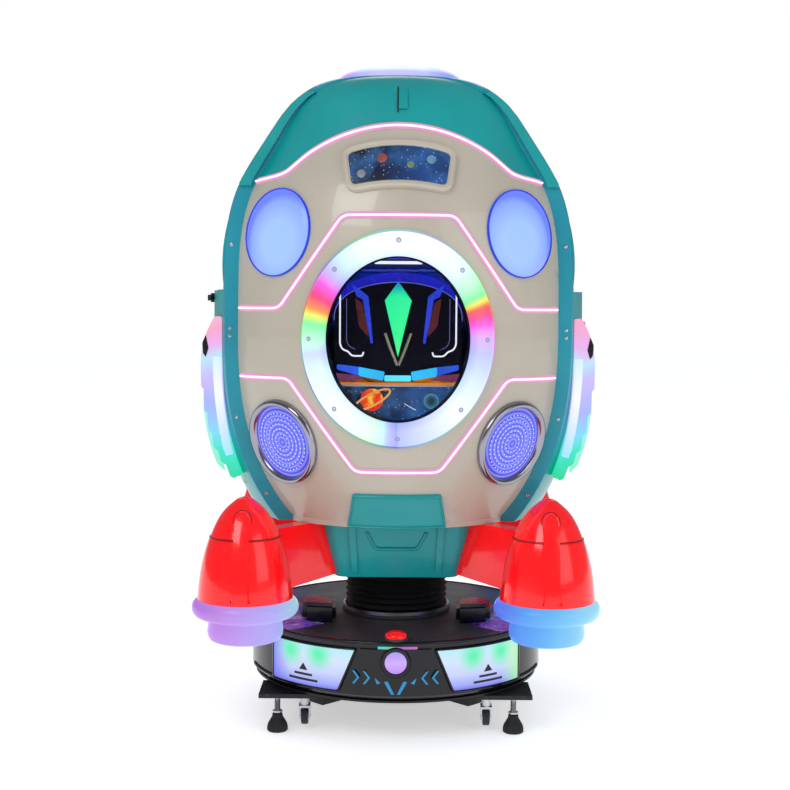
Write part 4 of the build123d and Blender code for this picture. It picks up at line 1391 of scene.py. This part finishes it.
def drum_windows():
    """Backlit curved windows with a plain arrow and two bars, in black frames."""
    stops = [(0, (.10, .09, .78)), (.14, (.36, .40, .98)), (.4, (.62, .68, 1)), (.7, (.68, .82, 1)),
        (1, (.50, .88, .98))]
    for word, side in SIDE_NAMES.items():
        outline = [(side * .112, .272), (side * .356, .272), (side * .356, .150), (side * .162, .150)]
        make_piece(f"drum_window_{word}", drum_glow(f"drum_light_{word}", side, stops), add_patch, outline,
            .0005, .0065, on_drum, body="base", stands_for="drum_windows")
        make_piece(f"drum_window_frame_{word}", M["black"], add_band,
            rounded_path(outline, .006, closed=True), round_section(.004, .009), True, on_drum, body="base",
            slot="black_gloss")
        bm = bmesh.new()
        middle = side * .262
        add_patch(bm, [(middle - .012, .196), (middle + .012, .196), (middle, .216)], .0066, .0085, on_drum)
        for z, half in ((.184, .026), (.169, .042)):
            add_patch(bm, rectangle((middle - half, middle + half), (z - .003, z + .003)), .0066, .0085,
                on_drum)
        finish_mesh(f"drum_arrow_{word}", bm, M["rubber"], body="base")


def drum_glow(name, side, stops):
    """Window light with two green spots near the top."""

    def pick(nodes, links):
        body = ramp(nodes, links, object_axis(nodes, links, "Z", .147, .272), stops)
        far = object_axis(nodes, links, "X", side * .30, side * .365)
        body = mix_colour(nodes, links, far, body, (.12, .14, .9) if side < 0 else (.45, 1, .35))
        for x in (.215, .295):
            away = distance_from(nodes, links, on_drum(side * x, .245))
            near = map_range(nodes, links, away, .01, .05, .9, 0)
            body = mix_colour(nodes, links, near, body, (.06, .95, .42))
        return body

    return glow_shader(name, pick, .85)


def drum_front():
    """The headlight on its boss, chevrons beside it, and a plain blue device below."""
    place = front_place(0, .240, -.4525)
    make_piece("headlight_bezel", M["black"], add_turned_ring,
        [(.031, -.010), (.042, -.010), (.043, -.002), (.040, .003), (.034, .003),
        (.031, -.001)], place, 64, body="base", slot="black_gloss")
    bm = bmesh.new()
    add_turned(bm, [(0, -.001), (.0305, -.001), (.0305, .001), (.024, .0045), (.012, .006), (0, .0065)],
        place, 48)
    look = glow_along("headlight_glow", "Z", .208, .272,
        [(0, (.5, .25, .85)), (.5, (.62, .42, .95)), (1, (.42, .32, .9))], .9)
    finish_mesh("headlight_lens", bm, look, body="base")
    bm = bmesh.new()
    for side in SIDES:
        for x in (.085, .115):
            tip = side * (x - .014)
            root = side * x
            add_patch(bm, [(tip, .195), (root, .213), (root + side * .006, .213), (tip + side * .006, .195),
                (root + side * .006, .177), (root, .177)], .0078, .0092, on_drum, .006)
        add_patch(bm, [(side * .004, .150), (side * .012, .150), (side * .032, .185), (side * .022, .187)],
            .0078, .0092, on_drum, .006)
        add_patch(bm, [(side * .042, .182), (side * .058, .196), (side * .052, .178)], .0078, .0092,
            on_drum, .006)
    finish_mesh("drum_chevrons", bm, glow("chevron_blue", (.015, .30, .62), .9, .2), body="base")
    bm = bmesh.new()
    add_patch(bm, rectangle((-.05, .06), (.276, .2825)), .0005, .004, on_drum)
    look = glow_along("strip_lens", "X", -.05, .06,
        [(0, (.1, .9, .9)), (.35, (.2, .9, .5)), (.55, (.5, .2, .9)), (1, (.9, .2, .7))], .6)
    finish_mesh("drum_strip_lens", bm, look, body="base")
    bm = bmesh.new()
    for side in SIDES:
        for z in (.150, .270):
            path = [(side * x, z) for x in (.36, .39, .41, .425)]
            add_band(bm, rounded_path(path, .01), round_section(.005, .006), False, on_drum)
    finish_mesh("drum_side_trims", bm, M["black"], body="base")


def deck_trims():
    """Chamfered boxes beside the bellows, printed arcs at the sides and a rolled edge."""
    bm = bmesh.new()
    for side in SIDES:
        outline = [(side * .175, -.215), (side * .275, -.195), (side * .29, -.13), (side * .25, -.09),
            (side * .18, -.10)]
        add_prism(bm, outline, .2922, .350, bevel=.012)
    finish_mesh("deck_boxes", bm, M["black"], body="base")
    for word, side in SIDE_NAMES.items():
        bm = bmesh.new()
        outline = []
        for r, angles in ((.428, range(-10, 46, 5)), (.300, range(45, -11, -5))):
            for a in angles:
                outline.append((side * r * math.cos(math.radians(a)), -r * math.sin(math.radians(a))))
        add_prism(bm, outline, .2921, .2931, bevel=.0003)
        finish_mesh(f"deck_decal_{word}", bm, deck_print(f"deck_print_{word}"), body="base")
        bm = bmesh.new()
        place = Matrix.Translation((side * .300, -.225, .2932))
        for inner_r, outer_r in ((.046, .056), (.020, .036)):
            add_turned_ring(bm, [(inner_r, 0), (outer_r, 0), (outer_r, .0006), (inner_r, .0006)], place, 48)
        finish_mesh(f"deck_medallion_{word}", bm, M["print_lilac"], body="base")
    roll = arc((DRUM_R - .004, .290), (.006, .0055), 12, 0, TAU)[:-1]
    make_piece("deck_roll", M["black"], add_turned_ring, roll, segments=160, body="base", slot="black_gloss")


def deck_print(name):
    """A print of purple and blue swirls."""
    material, nodes, links, shader = blank(name)
    swirl = ramp(nodes, links, mapped_noise(nodes, links, 26, 0, 1, 2),
        [(0, (.02, .01, .05)), (.35, (.25, .06, .7)), (.6, (.06, .2, .8)), (.8, (.6, .5, .9)),
            (1, (.05, .03, .1))])
    links.new(swirl, shader.inputs["Base Color"])
    surface_detail(nodes, links, shader, .3, 200, .1)
    return material


def bellows_clamp():
    make_piece("bellows_clamp", M["steel"], add_turned_ring,
        [(.1565, .303), (.163, .303), (.163, .313), (.1565, .313)], segments=96, body="turntable",
        slot="steel")


def start_button():
    _, _, middle = box_of("start_button")
    profile = [(0, .2625), (.012, .2625), (.012, .2982), (.029, .2982), (.031, .300), (.0306, .304)]
    profile += arc((0, .304), (.0306, .0145), 8, 0, math.pi / 2)[1:-1]
    make_piece("start_button_cap", M["red"], add_turned, profile + [(0, .3185)],
        Matrix.Translation((middle.x, middle.y, 0)), 48, body="start_button", stands_for="start_button")


def box_of(node):
    """A CAD node's lowest corner, highest corner and middle."""
    low, high = [Vector(corner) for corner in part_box(node)]
    return low, high, (low + high) / 2


def caster_details():
    """Hub caps on the wheels, and a red brake pedal on each fork."""
    for node in sorted(NODES):
        bm = bmesh.new()
        if node.startswith("caster_wheel"):
            _, _, middle = box_of(node)
            for side in SIDES:
                place = frame_at((middle.x + side * .0101, middle.y, middle.z), (side, 0, 0))
                add_turned_ring(bm, [(.006, 0), (.016, 0), (.016, .0012), (.006, .0016)], place, 32)
            finish_mesh(f"{node}_hubs", bm, M["steel"], body=node)
        elif node.startswith("caster_fork"):
            _, high, middle = box_of(node)
            add_prism(bm, rectangle((middle.x - .011, middle.x + .011), (high.y - .002, high.y + .010)),
                .071, .0755, bevel=.0012)
            finish_mesh(f"{node}_pedal", bm, M["red"], body=node)
        else:
            bm.free()


def foot_pads():
    """Bell-shaped rubber pads on threaded stems, each with a nut under the corner plate."""
    pads, stems = bmesh.new(), bmesh.new()
    bell = [(0, .0002), (.027, .0002), (.030, .003), (.030, .012), (.0275, .022), (.021, .033),
        (.0155, .042), (.0145, .050), (.011, .053), (0, .053)]
    for sx in SIDES:
        for sy in SIDES:
            place = Matrix.Translation((sx * .340, sy * .300, 0))
            add_turned(pads, bell, place, 48)
            thread = [(0, .0532), (.0085, .0532)]
            thread += [(.0085 if k % 2 else .0075, .055 + .0012 * k) for k in range(34)]
            add_turned(stems, thread + [(.0085, .0965), (0, .0965)], place, 24)
            nut = [(.0155 * math.cos(TAU * i / 6), .0155 * math.sin(TAU * i / 6)) for i in range(6)]
            add_prism(stems, nut, .097, .1078, place, .001)
            add_prism(stems, nut, .0545, .0600, place, .001)
    pad = finish_mesh("foot_pads", pads, M["rubber"], "base")
    stem = finish_mesh("foot_stems", stems, M["steel"], "base")
    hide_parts("levelling_feet")
    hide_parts("levelling_feet")


build_materials()
build_camera()
build_world()
build_lights()
build_floor()
dress_nodes()
for make in (
    neon_lines, porthole, upper_lamps, lower_lamps, sign, hood_details, hoop_screws, front_insert,
    belly_details, console_body, console_front, console_lip, cabin_lights, pods, pod_lamps,
    crown_lamp, wings, side_speaker, hull_seams, seat_pads, drum_windows, drum_front, deck_trims,
    bellows_clamp, start_button, caster_details, foot_pads,
):
    make()
